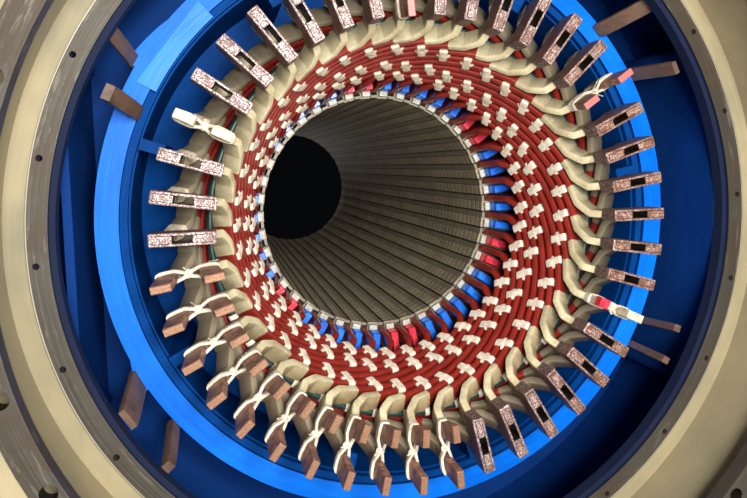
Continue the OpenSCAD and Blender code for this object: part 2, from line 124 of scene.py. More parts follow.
class StatorStage(bpy.types.PropertyGroup):
    """Floor, light and camera"""
    floor: hue("Floor", (0.42, 0.415, 0.40), "Colour of the floor")
    key: FloatProperty(name="Key light", description="Power of the main light", default=150.0, unit="POWER")
    dome: FloatProperty(name="Dome light", description="Strength of the light from above", default=0.22)
    lens: FloatProperty(name="Lens", description="Focal length in millimetres", default=31.54)


class Wire:
    """A socket that gives a value; sums, products and comparisons with it add maths nodes to its graph."""

    def __init__(self, graph, socket):
        self.graph, self.socket = graph, socket

    def __abs__(self):
        return self.graph.math("ABSOLUTE", self)

    def fract(self):
        return self.graph.math("FRACT", self)


def arithmetic(operation, swapped=False):
    """A method for Wire that adds the maths node of that operation on the wire and another value."""
    def method(wire, other):
        return wire.graph.math(operation, *((other, wire) if swapped else (wire, other)))
    return method


for word, operation in {"add": "ADD", "sub": "SUBTRACT", "mul": "MULTIPLY", "truediv": "DIVIDE"}.items():
    setattr(Wire, f"__{word}__", arithmetic(operation))
    setattr(Wire, f"__r{word}__", arithmetic(operation, swapped=True))
Wire.__lt__, Wire.__gt__ = arithmetic("LESS_THAN"), arithmetic("GREATER_THAN")


class Graph:
    """Adds nodes to a tree; most helpers return the wire that leaves their node."""

    def __init__(self, tree):
        self.tree = tree

    def feed(self, socket, value):
        if isinstance(value, Wire):
            self.tree.links.new(value.socket, socket)
        elif value is not None:
            if socket.type == "RGBA" and len(value) == 3:
                value = (*value, 1)
            socket.default_value = value

    def node(self, kind, inputs=(), **settings):
        """A node with its settings; inputs holds values by the socket's name or number."""
        n = self.tree.nodes.new(kind)
        for name, value in settings.items():
            setattr(n, name, value)
        for key, value in dict(inputs).items():
            self.feed(n.inputs[key], value)
        return n

    def out(self, key, kind, inputs=(), **settings):
        """The wire that leaves a new shader node by the output of that name or number."""
        return Wire(self, self.node("ShaderNode" + kind, inputs, **settings).outputs[key])

    def math(self, operation, *values, clamp=False):
        return self.out(0, "Math", enumerate(values), operation=operation, use_clamp=clamp)

    def range(self, value, low, high, to_low=0.0, to_high=1.0, kind="LINEAR"):
        values = enumerate((value, low, high, to_low, to_high))
        return self.out(0, "MapRange", values, interpolation_type=kind)

    def smooth(self, *values):
        return self.range(*values, kind="SMOOTHSTEP")

    def mix(self, share, a, b):
        return self.out(2, "Mix", {0: share, 6: a, 7: b}, data_type="RGBA")

    def layers(self, colour, *layers):
        """The colour with others laid over it in turn, each given with its share."""
        for share, top in layers:
            colour = self.mix(share, colour, top)
        return colour

    def vector(self, *values):
        return self.out(0, "CombineXYZ", enumerate(values))

    def split(self, vector):
        return [Wire(self, socket) for socket in self.node("ShaderNodeSeparateXYZ", {0: vector}).outputs]

    def scaled(self, vector, by):
        return self.out(0, "VectorMath", {0: vector, 1: by}, operation="MULTIPLY")

    def noise(self, vector, scale, detail=3.0, roughness=0.55, fourth=None):
        """Noise at one scale, or at three when the scale is a tuple."""
        if isinstance(scale, tuple):
            vector, scale = self.scaled(vector, scale), 1.0
        inputs = {"Vector": vector, "Scale": scale, "Detail": detail, "Roughness": roughness}
        if fourth is None:
            return self.out(0, "TexNoise", inputs)
        return self.out(0, "TexNoise", {**inputs, "W": fourth}, noise_dimensions="4D")

    def attribute(self, name):
        return self.out("Fac", "Attribute", attribute_name=name)

    def place(self):
        return self.out("Object", "TexCoord")

    def uv(self):
        return self.out("UV", "TexCoord")

    def bump(self, height, strength, distance):
        return self.out(0, "Bump", {"Height": height, "Strength": strength, "Distance": distance})

    def surface(self, colour, roughness, normal=None, **others):
        inputs = {"Base Color": colour, "Roughness": roughness, "Normal": normal}
        inputs.update({name.replace("_", " "): value for name, value in others.items()})
        self.node("ShaderNodeOutputMaterial", {0: self.out(0, "BsdfPrincipled", inputs)})


def shared(name, inputs, outputs):
    """Makes a function from wires to wires into a node group, built once, which each call adds to a graph.

    A socket called Vector or Colour has that type, and any other one is a float.
    """
    def make_tree(fill):
        tree = bpy.data.node_groups.new(name, "ShaderNodeTree")
        for labels, way in ((inputs, "INPUT"), (outputs, "OUTPUT")):
            for label in labels:
                kind = "NodeSocket" + {"Vector": "Vector", "Colour": "Color"}.get(label, "Float")
                tree.interface.new_socket(name=label, in_out=way, socket_type=kind)
        g = Graph(tree)
        source = g.node("NodeGroupInput").outputs
        g.node("NodeGroupOutput", enumerate(fill(g, *[Wire(g, source[label]) for label in inputs])))
        return tree

    def wrap(fill):
        def add(g, *values):
            tree = bpy.data.node_groups.get(name) or make_tree(fill)
            sockets = g.node("ShaderNodeGroup", node_tree=tree)
            for label, value in zip(inputs, values):
                g.feed(sockets.inputs[label], value)
            wires = [Wire(g, sockets.outputs[label]) for label in outputs]
            return wires if len(wires) > 1 else wires[0]
        return add
    return wrap


@shared("Polar", ["Vector"], ["Angle", "Radius", "Along"])
def polar(g, point):
    """A point's angle round the machine's axis, its radius and its distance along the axis."""
    x, y, z = g.split(point)
    up = z - AXIS_Z
    return g.math("ARCTAN2", x, up), g.math("SQRT", x * x + up * up), y


@shared("Grime", ["Vector", "Scale", "Amount"], ["Mask"])
def grime(g, point, scale, amount):
    """Dirt in clouds with fine specks: the sum of a coarse and a fine noise, cut by the amount."""
    both = g.noise(point, scale, 4.0, 0.6) * 0.7 + g.noise(point, scale * 9.0, 3.0, 0.6) * 0.3
    low = 0.75 - amount * 0.5
    return [g.smooth(both, low, low + 0.22)]


@shared("Round noise", ["Vector", "Turns", "Fineness"], ["Value"])
def round_noise(g, point, turns, fineness):
    """Noise drawn out round the axis, in the angle's sine and cosine, the way along and the radius."""
    angle, radius, along = polar(g, point)
    spot = g.vector(g.math("SINE", angle) * turns, g.math("COSINE", angle) * turns, along * fineness)
    return [g.noise(spot, 1.0, 4.0, 0.65, fourth=radius * fineness)]


@shared("Brushed paint", ["Vector", "Strokes", "Colour", "Streak"], ["Colour", "Roughness"])
def brushed(g, point, strokes, colour, streak):
    """Brushed paint: the strokes' noise gives streaks, and a coarse one gives slow changes of tone."""
    slow = g.noise(point, 3.5, 3.0, 0.6)
    tone = (strokes - 0.5) * streak + (slow - 0.5) * 0.9
    dark, light = g.scaled(colour, (0.5, 0.5, 0.55)), g.scaled(colour, (1.9, 1.45, 1.2))
    return g.mix(g.math("ADD", tone, 0.5, clamp=True), dark, light), g.range(slow, 0.3, 0.7, 0.25, 0.42)


@shared("Speckle", ["Vector", "Scale", "Share"], ["Mask", "Height"])
def speckle(g, point, scale, share):
    """Specks of brazing metal: cells and a fine noise, cut by the share that they cover."""
    cell = g.out("Distance", "TexVoronoi", {"Vector": point, "Scale": scale})
    both = cell * 0.45 + g.noise(point, scale * 1.7, 4.0, 0.7) * 0.6
    return g.smooth(both, share, share + 0.12), both


@shared("Tape laps", ["Vector", "Width"], ["Height", "Edge"])
def laps(g, point, width):
    """Laps of tape wound on a bar: a saw tooth of the way along over the tape's width plus the way round."""
    u, v, _ = g.split(point)
    saw = ((v + u * width) / width).fract()
    return saw, g.smooth(saw, 0.0, 0.10, 1.0, 0.0)


def material(finish):
    """The material that a function builds, made the first time it is asked for."""
    name = "dressed_" + finish.__name__
    found = bpy.data.materials.get(name)
    if found is None:
        found = bpy.data.materials.new(name)
        found.use_nodes = True
        found.node_tree.nodes.clear()
        finish(Graph(found.node_tree), bpy.context.scene.stator_colours)
    return found


def painted(g, colour, streak, dirt, dirt_colour, bump=0.25):
    """Colour, roughness and normal of paint brushed round the axis, with grime in the given amount."""
    point = g.place()
    strokes = round_noise(g, point, 5.0, 75.0)
    tone, rough = brushed(g, point, strokes, colour, streak)
    mask = grime(g, point, 4.0, dirt)
    return g.mix(mask * 0.75, tone, dirt_colour), rough + mask * 0.3, g.bump(strokes, bump, 0.003)


def blue_paint(g, c):
    """Bright blue, with painted shade inside the core's shell: darker and duller there."""
    tone, rough, normal = painted(g, c.blue, 0.9, 0.22, (0.002, 0.03, 0.16), 0.16)
    # Painted shade: within the shell's radius the blue is darkened, as that inside lies in shadow.
    inner = polar(g, g.place())[1] < SHELL_R
    tone = g.mix(inner, tone, g.scaled(tone, (0.36, 0.31, 0.30)))
    g.surface(tone, rough + g.range(inner, 0.0, 1.0, 0.08, 0.3), normal,
              Specular_IOR_Level=g.range(inner, 0.0, 1.0, 0.16, 0.05))


def light_blue_paint(g, c):
    g.surface(*painted(g, (0.014, 0.185, 0.70), 0.25, 0.1, (0.03, 0.16, 0.45)), Specular_IOR_Level=0.2)


def navy_paint(g, c):
    tone, rough, normal = painted(g, c.navy, 0.7, 0.2, (0.002, 0.012, 0.06), 0.12)
    g.surface(tone, rough + 0.3, normal, Specular_IOR_Level=0.05)


def casing_paint(g, c):
    """Cream outside and in the recess; navy within the bulkheads, by radius and by way along."""
    tone, rough, normal = painted(g, c.casing, 0.25, 0.3, (0.19, 0.165, 0.10), 0.15)
    point = g.place()
    dark = brushed(g, point, g.noise(point, (30, 9, 30), 3.0, 0.6), c.navy, 0.7)[0]
    _, radius, along = polar(g, point)
    inside = (radius < BULKHEAD_R) * (abs(along) < BULKHEAD_Y)
    drips = g.noise(point, (18, 18, 1.5), 3.0, 0.6)
    tone = g.layers(tone, (g.smooth(drips, 0.60, 0.80, 0.0, 0.35), (0.15, 0.125, 0.07)), (inside, dark))
    g.surface(tone, rough + 0.1, normal, Specular_IOR_Level=g.range(inside, 0.0, 1.0, 0.35, 0.04))


def machined_steel(g, c):
    """Turned rings: grooves by radius, brown stains, scratches, a bright seat edge and dark bolt holes.

    The bolt holes are painted near-black as the shade inside them. Within the seat's lip the steel is dark
    navy: partly navy paint on the ring's inner wall, partly painted shade in its rebate.
    """
    point = g.place()
    angle, radius, along = polar(g, point)
    # Bolt holes round the rim: painted near-black, as the shade inside them.
    aside = (((angle - RIM_FIRST) / RIM_STEP + 0.5).fract() - 0.5) * (RIM_STEP * RIM_R)
    off = radius - RIM_R
    hole = aside * aside + off * off < RIM_HOLE_R ** 2
    # Within the seat's lip: dark navy, partly navy paint on the inner wall, partly painted shade in the
    # rebate.
    lip = (radius < SEAT_LIP_R) * (abs(along) < SEAT_LIP_Y)
    groove, worn = round_noise(g, point, 2.0, 320.0), round_noise(g, point, 9.0, 60.0)
    stain = g.noise(point, 6.0, 5.0, 0.65)
    dull, fresh = g.scaled(c.steel, (0.55, 0.52, 0.5)), g.scaled(c.steel, (1.7, 1.75, 1.8))
    tone = g.layers(g.mix(g.range(groove, 0.3, 0.7), dull, fresh),
                    (g.smooth(stain, 0.42, 0.60, 0.0, 0.7), (0.050, 0.032, 0.017)),
                    (g.smooth(worn, 0.56, 0.66, 0.0, 0.45), (0.20, 0.18, 0.14)),
                    (lip * 0.95, (0.008, 0.013, 0.035)),
                    ((abs(radius - SEAT_EDGE_R) < 0.0015) * 0.6, (0.55, 0.50, 0.38)),
                    (hole, (0.010, 0.008, 0.006)))
    dark = g.math("MAXIMUM", lip, hole)
    g.surface(tone, g.range(groove, 0.2, 0.8, 0.36, 0.58), g.bump(groove, 0.35, 0.0006),
              Metallic=g.range(stain, 0.45, 0.65, 0.55, 0.25) * (1.0 - dark),
              Specular_IOR_Level=g.range(dark, 0.0, 1.0, 0.5, 0.04))


def slot_place(g, point):
    """Metres round the bore past the nearest slot's middle, at most half a pitch, and the way along."""
    angle, _, along = polar(g, point)
    return ((angle / PITCH + (SLOTS + 0.5)).fract() - 0.5) * (PITCH * BORE_R), along


def core_laminations(g, c):
    """Stacked sheets: dark edges beside the slots, air ducts with ragged bright lips, cloudy varnish.

    The dark edges are painted shadow in and beside each slot, wider on one side, and the ducts' near-black
    is painted shade inside ducts that the solid doesn't have.
    """
    point = g.place()
    past, along = slot_place(g, point)
    ragged = g.noise(point, (160, 500, 160), 3.0, 0.7)
    sheets = g.noise(g.vector(past, along, 0.0), (12, 900, 1), 2.0, 0.6)
    # Ducts every 46 mm: near-black, painted shade inside them.
    saw = (along / 0.046).fract()
    duct, lip = saw < 0.17, (saw > 0.17) * (saw < 0.36)
    # Painted shadow in and beside each slot, 2.4 mm wider on one side.
    gap = abs(past) < 0.0128 + (past < 0.0) * 0.0024
    cloud = g.noise(point, 5.0, 4.0, 0.6)
    tone = g.layers(g.mix(g.range(cloud, 0.35, 0.65), g.scaled(c.core, (0.55, 0.52, 0.5)), c.core),
                    (g.range(sheets, 0.40, 0.75, 0.0, 0.4), (0.40, 0.35, 0.24)),
                    (duct * g.range(ragged, 0.35, 0.6, 0.95, 0.5), (0.020, 0.014, 0.008)),
                    (lip * g.range(ragged, 0.46, 0.58, 0.0, 0.85), (0.78, 0.70, 0.50)),
                    (g.range(g.noise(point, 240.0, 2.0), 0.66, 0.72, 0.0, 0.8), (0.85, 0.78, 0.60)),
                    (gap * 0.95, (0.010, 0.007, 0.004)))
    g.surface(tone, 0.55, g.bump(ragged * 0.5 - duct, 0.6, 0.002))


def wedge_laminate(g, c):
    """Slot wedges in short lengths, nearly as pale as the teeth, with painted shadow along one edge."""
    point = g.place()
    past, along = slot_place(g, point)
    joint = (along / 0.11).fract() < 0.03
    fibre = g.noise(point, (260, 22, 260), 3.0, 0.6)
    cloud = g.noise(point, 9.0, 3.0, 0.6)
    tone = g.layers(g.mix(fibre, (0.12, 0.10, 0.065), (0.27, 0.235, 0.165)),
                    (g.range(cloud, 0.4, 0.7, 0.0, 0.5), (0.11, 0.085, 0.05)),
                    (joint * 0.55, (0.02, 0.015, 0.01)),
                    # Painted shadow along one edge of the wedge.
                    ((past < -0.0085) * 0.96, (0.006, 0.005, 0.004)))
    g.surface(tone, 0.5, g.bump(fibre - joint, 0.4, 0.001))


def finger_steel(g, c):
    point = g.place()
    fine = g.noise(point, 160.0, 3.0, 0.6)
    tone = g.mix(g.range(fine, 0.35, 0.7), (0.33, 0.32, 0.26), (0.58, 0.57, 0.50))
    tone = g.mix(grime(g, point, 22.0, 0.6) * 0.6, tone, (0.20, 0.15, 0.09))
    g.surface(tone, 0.55, g.bump(fine, 0.3, 0.001))


def taped_bar(g, c):
    """Red varnish over tape laps, and cream tape from the bar's end as far as its cover attribute says.

    Shade 1, on the lower layer, darkens the cream: partly dust, partly painted shade behind the upper layer.
    The deep attribute, 0 at the bore side and 1 at the back, paints shade on what lies between bars; on cream
    tape low down that painted shade is weaker and browner, partly as dust.
    """
    uv, point = g.uv(), g.place()
    lap, edge = laps(g, uv, 0.021)
    cream_lap, cream_edge = laps(g, uv, 0.016)
    cloud = g.noise(point, 14.0, 4.0, 0.6)
    fine = g.noise(point, 190.0, 3.0, 0.6)
    red = g.layers(g.mix(g.range(cloud, 0.3, 0.7), g.mix(0.42, c.red, (0.03, 0.004, 0.003)), c.red),
                   (g.range(fine, 0.55, 0.8, 0.0, 0.35), (0.44, 0.085, 0.045)),
                   (edge * 0.28, (0.10, 0.012, 0.008)))
    cream = g.layers(g.mix(g.range(cloud, 0.36, 0.62), g.mix(0.60, c.cream, (0.21, 0.15, 0.065)), c.cream),
                     (g.range(fine, 0.5, 0.8, 0.0, 0.4), (0.80, 0.73, 0.52)),
                     (cream_edge * 0.45, (0.27, 0.20, 0.10)),
                     # Shade 1, the lower layer: darker cream, partly dust and partly painted shade.
                     (g.attribute("shade") * 0.86, (0.185, 0.145, 0.095)))
    limit = g.attribute("cover") + (g.noise(point, 60.0) - 0.5) * 0.008
    bare = g.range(limit - g.split(uv)[1], -0.0008, 0.0008)
    tone = g.mix(bare, red, cream)
    # Painted shade between the bars by the deep attribute: 0.55 by the bore-side corner, 1 at the back.
    deep = g.attribute("deep")
    painted_side_shade = g.range(deep, 0.0, 0.07, 0.0, 0.55) + g.range(deep, 0.07, 1.0, 0.0, 0.45)
    # Low down on cream the painted shade is weaker and browner, partly as dust.
    dust_and_shade = g.mix(g.range(g.split(point)[2], 1.15, 0.75), (0.31, 0.30, 0.27), (0.50, 0.37, 0.26))
    tone = g.mix(painted_side_shade, tone, g.scaled(tone, g.mix(bare, (0.32, 0.25, 0.24), dust_and_shade)))
    height = g.mix(bare, lap, cream_lap) * 0.5 + fine * 0.5
    g.surface(tone, g.range(fine, 0.3, 0.7, 0.26, 0.42) + bare * 0.18, g.bump(height, 0.35, 0.0012),
              Coat_Weight=(1.0 - bare) * 0.35)


def white_tape(g, c):
    """Woven lacing tape, stained by resin here and there, and greyer high up."""
    u, v, _ = g.split(g.uv())
    point = g.place()
    weave = g.math("SINE", u * 2600.0) * g.math("SINE", v * 2600.0)
    cloud = g.noise(point, 45.0, 4.0, 0.65)
    tone = g.mix(g.range(cloud, 0.35, 0.62), g.mix(0.55, c.white, (0.33, 0.22, 0.13)), c.white)
    tone = g.mix(g.range(g.noise(point, 420.0, 2.0), 0.5, 0.8, 0.0, 0.4), tone, (0.50, 0.40, 0.28))
    tone = g.mix(g.range(g.split(point)[2], 1.5, 1.95, 0.0, 0.65), tone, g.scaled(tone, (0.66, 0.60, 0.52)))
    g.surface(tone, 0.72, g.bump(weave * 0.3 + cloud * 1.2, 0.5, 0.0012))


def pale_tape(g, c):
    """Cream tape drawn tight over a bar's bare end."""
    cloud = g.noise(g.place(), 60.0, 3.0, 0.6)
    tone = g.mix(g.range(cloud, 0.35, 0.6), (0.38, 0.29, 0.185), (0.60, 0.515, 0.375))
    g.surface(tone, 0.6, g.bump(cloud, 0.3, 0.001))


def marked(shade, value, amount=1.0):
    """The amount where the shade attribute has that value, and nothing elsewhere."""
    return (abs(shade - value) < 0.5) * amount


def clip_copper(g, c):
    """Brazed clip: brown sides (shade 0), pink speckled front (1), dark bore side (2), window painted black
    as shade (3).
    """
    point, shade = g.place(), g.attribute("shade")
    specks, lumps = speckle(g, point, 230.0, 0.485)
    coarse, _ = speckle(g, point, 95.0, 0.50)
    streak = g.noise(point, (140, 14, 140), 3.0, 0.65)
    patch = g.noise(g.scaled(point, (1, 2.5, 1)), 34.0, 3.0, 0.6)
    side = g.mix(streak, (0.055, 0.024, 0.018), (0.24, 0.12, 0.085))
    front = g.layers(g.mix(specks, g.scaled(c.copper, (0.30, 0.30, 0.32)), (0.53, 0.40, 0.365)),
                     (g.smooth(patch, 0.50, 0.62, 0.0, 0.7), (0.115, 0.060, 0.048)),
                     (coarse * 0.4, (0.11, 0.055, 0.045)))
    # Clips on the +x side turn browner, in patches.
    browner_on_right = g.range(g.split(point)[0], 0.1, 0.6) * g.range(patch, 0.40, 0.56, 0.45, 1.0)
    front = g.mix(browner_on_right, front, g.scaled(front, (0.98, 0.72, 0.52)))
    solder = g.mix(specks, (0.045, 0.026, 0.022), (0.30, 0.19, 0.17))
    tone = g.layers(side, (marked(shade, 1.0), front), (marked(shade, 2.0), solder),
                    # Shade 3: near-black, painted shade inside the window.
                    (marked(shade, 3.0), (0.010, 0.007, 0.006)))
    g.surface(tone, g.range(lumps, 0.3, 0.8, 0.6, 0.38), g.bump(lumps + streak * 0.4, 0.7, 0.0016),
              Metallic=g.range(specks, 0.0, 1.0, 0.15, 0.45))


def strand_copper(g, c):
    """Stacked strands: brown sides with fine lines across (shade 0), bright cut ends (1, or pink at 3)."""
    point, shade = g.place(), g.attribute("shade")
    u, v, _ = g.split(g.uv())
    gap = g.smooth(abs((u / 0.0088).fract() - 0.5), 0.40, 0.48)
    line = g.smooth(abs((v / 0.0075).fract() - 0.5), 0.30, 0.42)
    patch = g.noise(point, (30, 60, 30), 2.0, 0.5)
    fine = g.noise(point, (220, 40, 220), 4.0, 0.7)
    cloud = g.noise(point, 40.0, 3.0, 0.6)
    line_tone = g.mix(g.range(patch, 0.47, 0.53), (0.030, 0.014, 0.010), (0.52, 0.25, 0.15))
    side = g.layers(g.mix(g.range(fine, 0.3, 0.7), (0.085, 0.040, 0.030), (0.34, 0.165, 0.115)),
                    (g.range(cloud, 0.45, 0.65, 0.0, 0.55), (0.25, 0.145, 0.11)), (line * 0.85, line_tone))
    end = g.layers(g.mix(g.range(fine, 0.3, 0.7), (0.10, 0.045, 0.024), (0.40, 0.20, 0.105)),
                   (gap * 0.45, (0.22, 0.10, 0.06)), (marked(shade, 3.0, 0.85), (0.66, 0.15, 0.15)))
    g.surface(g.mix(g.range(shade, 0.4, 0.6), side, end), g.range(fine, 0.2, 0.8, 0.34, 0.6),
              g.bump(fine - gap, 0.45, 0.0012), Metallic=0.35)


def lead_copper(g, c):
    point = g.place()
    streak = g.noise(point, (60, 25, 60), 4.0, 0.7)
    cloud = g.noise(point, 16.0, 3.0, 0.6)
    tone = g.mix(streak, (0.050, 0.027, 0.018), (0.20, 0.112, 0.070))
    tone = g.mix(g.range(cloud, 0.52, 0.68, 0.0, 0.7), tone, (0.045, 0.028, 0.020))
    g.surface(tone, g.range(streak, 0.2, 0.8, 0.45, 0.7), g.bump(streak, 0.4, 0.001), Metallic=0.12)


def block_laminate(g, c):
    """Spacer blocks, blue (shade 0) or red (shade 1), scuffed to a paler tone in clouds."""
    point, shade = g.place(), g.attribute("shade")
    cloud = g.noise(point, 38.0, 4.0, 0.65)
    pale = g.mix(shade, (0.005, 0.20, 0.80), (0.72, 0.05, 0.08))
    tone = g.layers(g.mix(shade, (0.0, 0.10, 0.60), (0.55, 0.005, 0.025)), (g.range(cloud, 0.42, 0.66), pale),
                    (g.range(g.noise(point, 90.0), 0.62, 0.74, 0.0, 0.6), (0.02, 0.03, 0.08)))
    g.surface(tone, 0.42, g.bump(cloud, 0.3, 0.001), Coat_Weight=0.2)


def green_tape(g, c):
    lap, edge = laps(g, g.uv(), 0.014)
    tone = g.mix(g.noise(g.place(), 30.0, 3.0, 0.6), (0.0, 0.012, 0.011), (0.002, 0.040, 0.034))
    g.surface(g.mix(edge * 0.5, tone, (0.0, 0.02, 0.018)), 0.4, g.bump(lap, 0.4, 0.001))


def weld_steel(g, c):
    """Painted weld bead with ripples, in the casing's cream."""
    g.surface(*painted(g, c.casing, 0.3, 0.5, (0.16, 0.12, 0.07), 0.5))


def floor_finish(g, c):
    floor = bpy.context.scene.stator_stage.floor
    g.surface(g.mix(g.noise(g.place(), 0.9, 5.0, 0.6), floor, (0.47, 0.465, 0.45)), 0.75)


FINISHES = {
    "casing_paint": casing_paint, "machined_steel": machined_steel, "navy_paint": navy_paint,
    "blue_paint": blue_paint, "core_laminations": core_laminations, "finger_steel": finger_steel,
    "wedge_laminate": wedge_laminate, "red_insulation": taped_bar, "bare_copper": lead_copper,
    "green_insulation": green_tape, "spacer_blocks": block_laminate,
}


def sweep(path, across, normal, section, closed=False, shade=0.0, span=None):
    """Carries a closed section along many paths: point = path + across * x + normal * y.

    path, across and normal are (count, n, 3), and section is (m, 2), (n, m, 2) or (count, n, m, 2). The UV
    map holds the way round the section and the way along the path in metres; span, when given, replaces
    the latter with (count, n) values.
    """
    count, n = path.shape[:2]
    section = np.broadcast_to(section, (count, n) + section.shape[-2:])
    m = section.shape[2]
    points = path[:, :, None] + across[:, :, None] * section[..., :1] + normal[:, :, None] * section[..., 1:]
    i, j = np.meshgrid(np.arange(n if closed else n - 1), np.arange(m), indexing="ij")
    i2, j2 = (i + 1) % n, (j + 1) % m
    quad = np.stack([i * m + j, i2 * m + j, i2 * m + j2, i * m + j2], -1).reshape(-1, 4)
    base = np.arange(count)[:, None, None] * n * m
    around = np.linalg.norm(np.roll(points, -1, 2) - points, axis=-1).cumsum(-1)
    around = np.concatenate([np.zeros((count, n, 1)), around], -1)
    if span is None:
        step = np.linalg.norm(np.roll(path, -1, 1) - path, axis=-1).cumsum(-1)
        span = np.concatenate([np.zeros((count, 1)), step], -1)
    else:
        span = np.concatenate([span, span[:, :1]], -1)
    corner_i, corner_j = np.stack([i, i + 1, i + 1, i], -1), np.stack([j, j, j + 1, j + 1], -1)
    uv = np.stack([around[:, np.minimum(corner_i, n - 1), corner_j], span[:, corner_i]], -1).reshape(-1, 2)
    faces = [(base + quad).reshape(-1, 4)]
    if not closed:
        loop = np.arange(m)
        faces.append(np.concatenate([base[:, :, 0] + loop, base[:, :, 0] + (n - 1) * m + loop[::-1]]))
        uv = np.concatenate([uv, section[:, 0].reshape(-1, 2), section[:, -1, ::-1].reshape(-1, 2)])
    total = sum(len(f) for f in faces)
    return {"points": points.reshape(-1, 3), "faces": faces, "uv": uv, "shade": np.full(total, float(shade))}


def oriented(part):
    """The part with its faces outwards: turned over if the signed volume of its triangles is below 0."""
    volume = 0.0
    for f in part["faces"]:
        p = part["points"][f]
        for k in range(1, f.shape[1] - 1):
            volume += np.einsum("ij,ij->", p[:, 0], np.cross(p[:, k], p[:, k + 1]))
    if volume >= 0:
        return part
    faces, uv, start = [], [], 0
    for f in part["faces"]:
        faces.append(f[:, ::-1])
        uv.append(part["uv"][start:start + f.size].reshape(len(f), -1, 2)[:, ::-1].reshape(-1, 2))
        start += f.size
    return {**part, "faces": faces, "uv": np.concatenate(uv)}


def make_piece(name, parts, finish, replaced=(), extra=None, angle=0.6):
    """One mesh object from swept parts, riding on the machine, with its UV map and its shade attribute."""
    parts = [oriented(p) for p in parts]
    faces, offset = [], 0
    for p in parts:
        for f in p["faces"]:
            faces.extend((f + offset).tolist())
        offset += len(p["points"])
    mesh = bpy.data.meshes.new(name)
    mesh.from_pydata(np.concatenate([p["points"] for p in parts]).tolist(), [], faces)
    mesh.uv_layers.new(name="UVMap").data.foreach_set("uv", np.concatenate([p["uv"] for p in parts]).ravel())
    fields = {("shade", "FACE"): np.concatenate([p["shade"] for p in parts])}
    fields.update({(label, "POINT"): values for label, values in (extra or {}).items()})
    for (label, domain), values in fields.items():
        mesh.attributes.new(label, "FLOAT", domain).data.foreach_set("value", values.astype(np.float32))
    mesh.polygons.foreach_set("use_smooth", np.ones(len(mesh.polygons), bool))
    mesh.set_sharp_from_angle(angle=angle)
    mesh.update()
    piece = bpy.data.objects.new(name, mesh)
    bpy.context.scene.collection.objects.link(piece)
    mesh.materials.append(material(finish))
    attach(piece, "root")
    if replaced:
        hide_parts(*replaced)


def at_end(points, end):
    """Local points (x, outwards from the core, height over the axis) in the row frame at that end."""
    return np.stack([points[..., 0], end * (CORE_END + points[..., 1]), AXIS_Z + points[..., 2]], -1)


def way_at_end(vectors, end):
    return vectors * np.array([1.0, end, 1.0])


def sweep_at_end(end, path, across, normal, section, **more):
    """A sweep whose path and ways are local to that end."""
    return sweep(at_end(path, end), way_at_end(across, end), way_at_end(normal, end), section, **more)


def turn_each(paths, angles):
    """Each path of (copies, n, 3) turned clockwise about the axis by its own angle."""
    c, s = np.cos(angles)[:, None], np.sin(angles)[:, None]
    x, y, z = np.moveaxis(paths, -1, 0)
    return np.stack([x * c + z * s, y + 0 * c, z * c - x * s], -1)


def turned(points, angles):
    """Copies of the (n, 3) points turned clockwise about the axis by each angle, as (copies, n, 3)."""
    return turn_each(np.broadcast_to(points, (len(angles),) + points.shape), angles)


def ways(n, angles):
    """The way across and the way from the axis at n points, turned clockwise about the axis by each angle."""
    return [turned(np.broadcast_to(way, (n, 3)), angles) for way in ([1.0, 0, 0], [0, 0, 1.0])]


def rounded_box(width, low, high, corner, points=3):
    """Section of a bar: a rectangle with quarter circles at its corners, round from the upper right."""
    t = np.linspace(0, math.pi / 2, points)
    arcs = []
    side = width / 2
    for k, (cx, cy) in enumerate([(side, high), (-side, high), (-side, low), (side, low)]):
        a = t + k * math.pi / 2
        inner = np.array([cx - math.copysign(corner, cx), cy - corner if k < 2 else cy + corner])
        arcs.append(inner + corner * np.stack([np.cos(a), np.sin(a)], -1))
    return np.concatenate(arcs)


def round_section(radius, points):
    a = np.linspace(0, 2 * np.pi, points, endpoint=False)
    return radius * np.stack([np.cos(a), np.sin(a)], -1)


def cross_unit(a, b):
    c = np.cross(a, b)
    return c / np.linalg.norm(c, axis=-1, keepdims=True)


def involute(base, r):
    psi = np.arccos(base / r)
    return np.tan(psi) - psi


def cone_radius(r0, cone, y):
    return r0 + np.maximum(0, y - FLARE_Y) * math.tan(cone)


def bar_base(r0, cone):
    """Base radius of the unrolled involute that turns by SLANT_TURN over the slant, found by halving."""
    r1, r2 = cone_radius(r0, cone, BEND_Y), cone_radius(r0, cone, SLANT_Y)
    low, high = 0.001, r1 * 0.999
    for _ in range(40):
        mid = (low + high) / 2
        if (involute(mid, r2) - involute(mid, r1)) / math.sin(cone) > SLANT_TURN:
            low = mid
        else:
            high = mid
    return low


def sampled(values, at, known=None):
    """The rows of values at the given places, by straight lines between known places, or between rows."""
    known = np.arange(len(values)) if known is None else known
    return np.stack([np.interp(at, known, column) for column in values.T], -1)


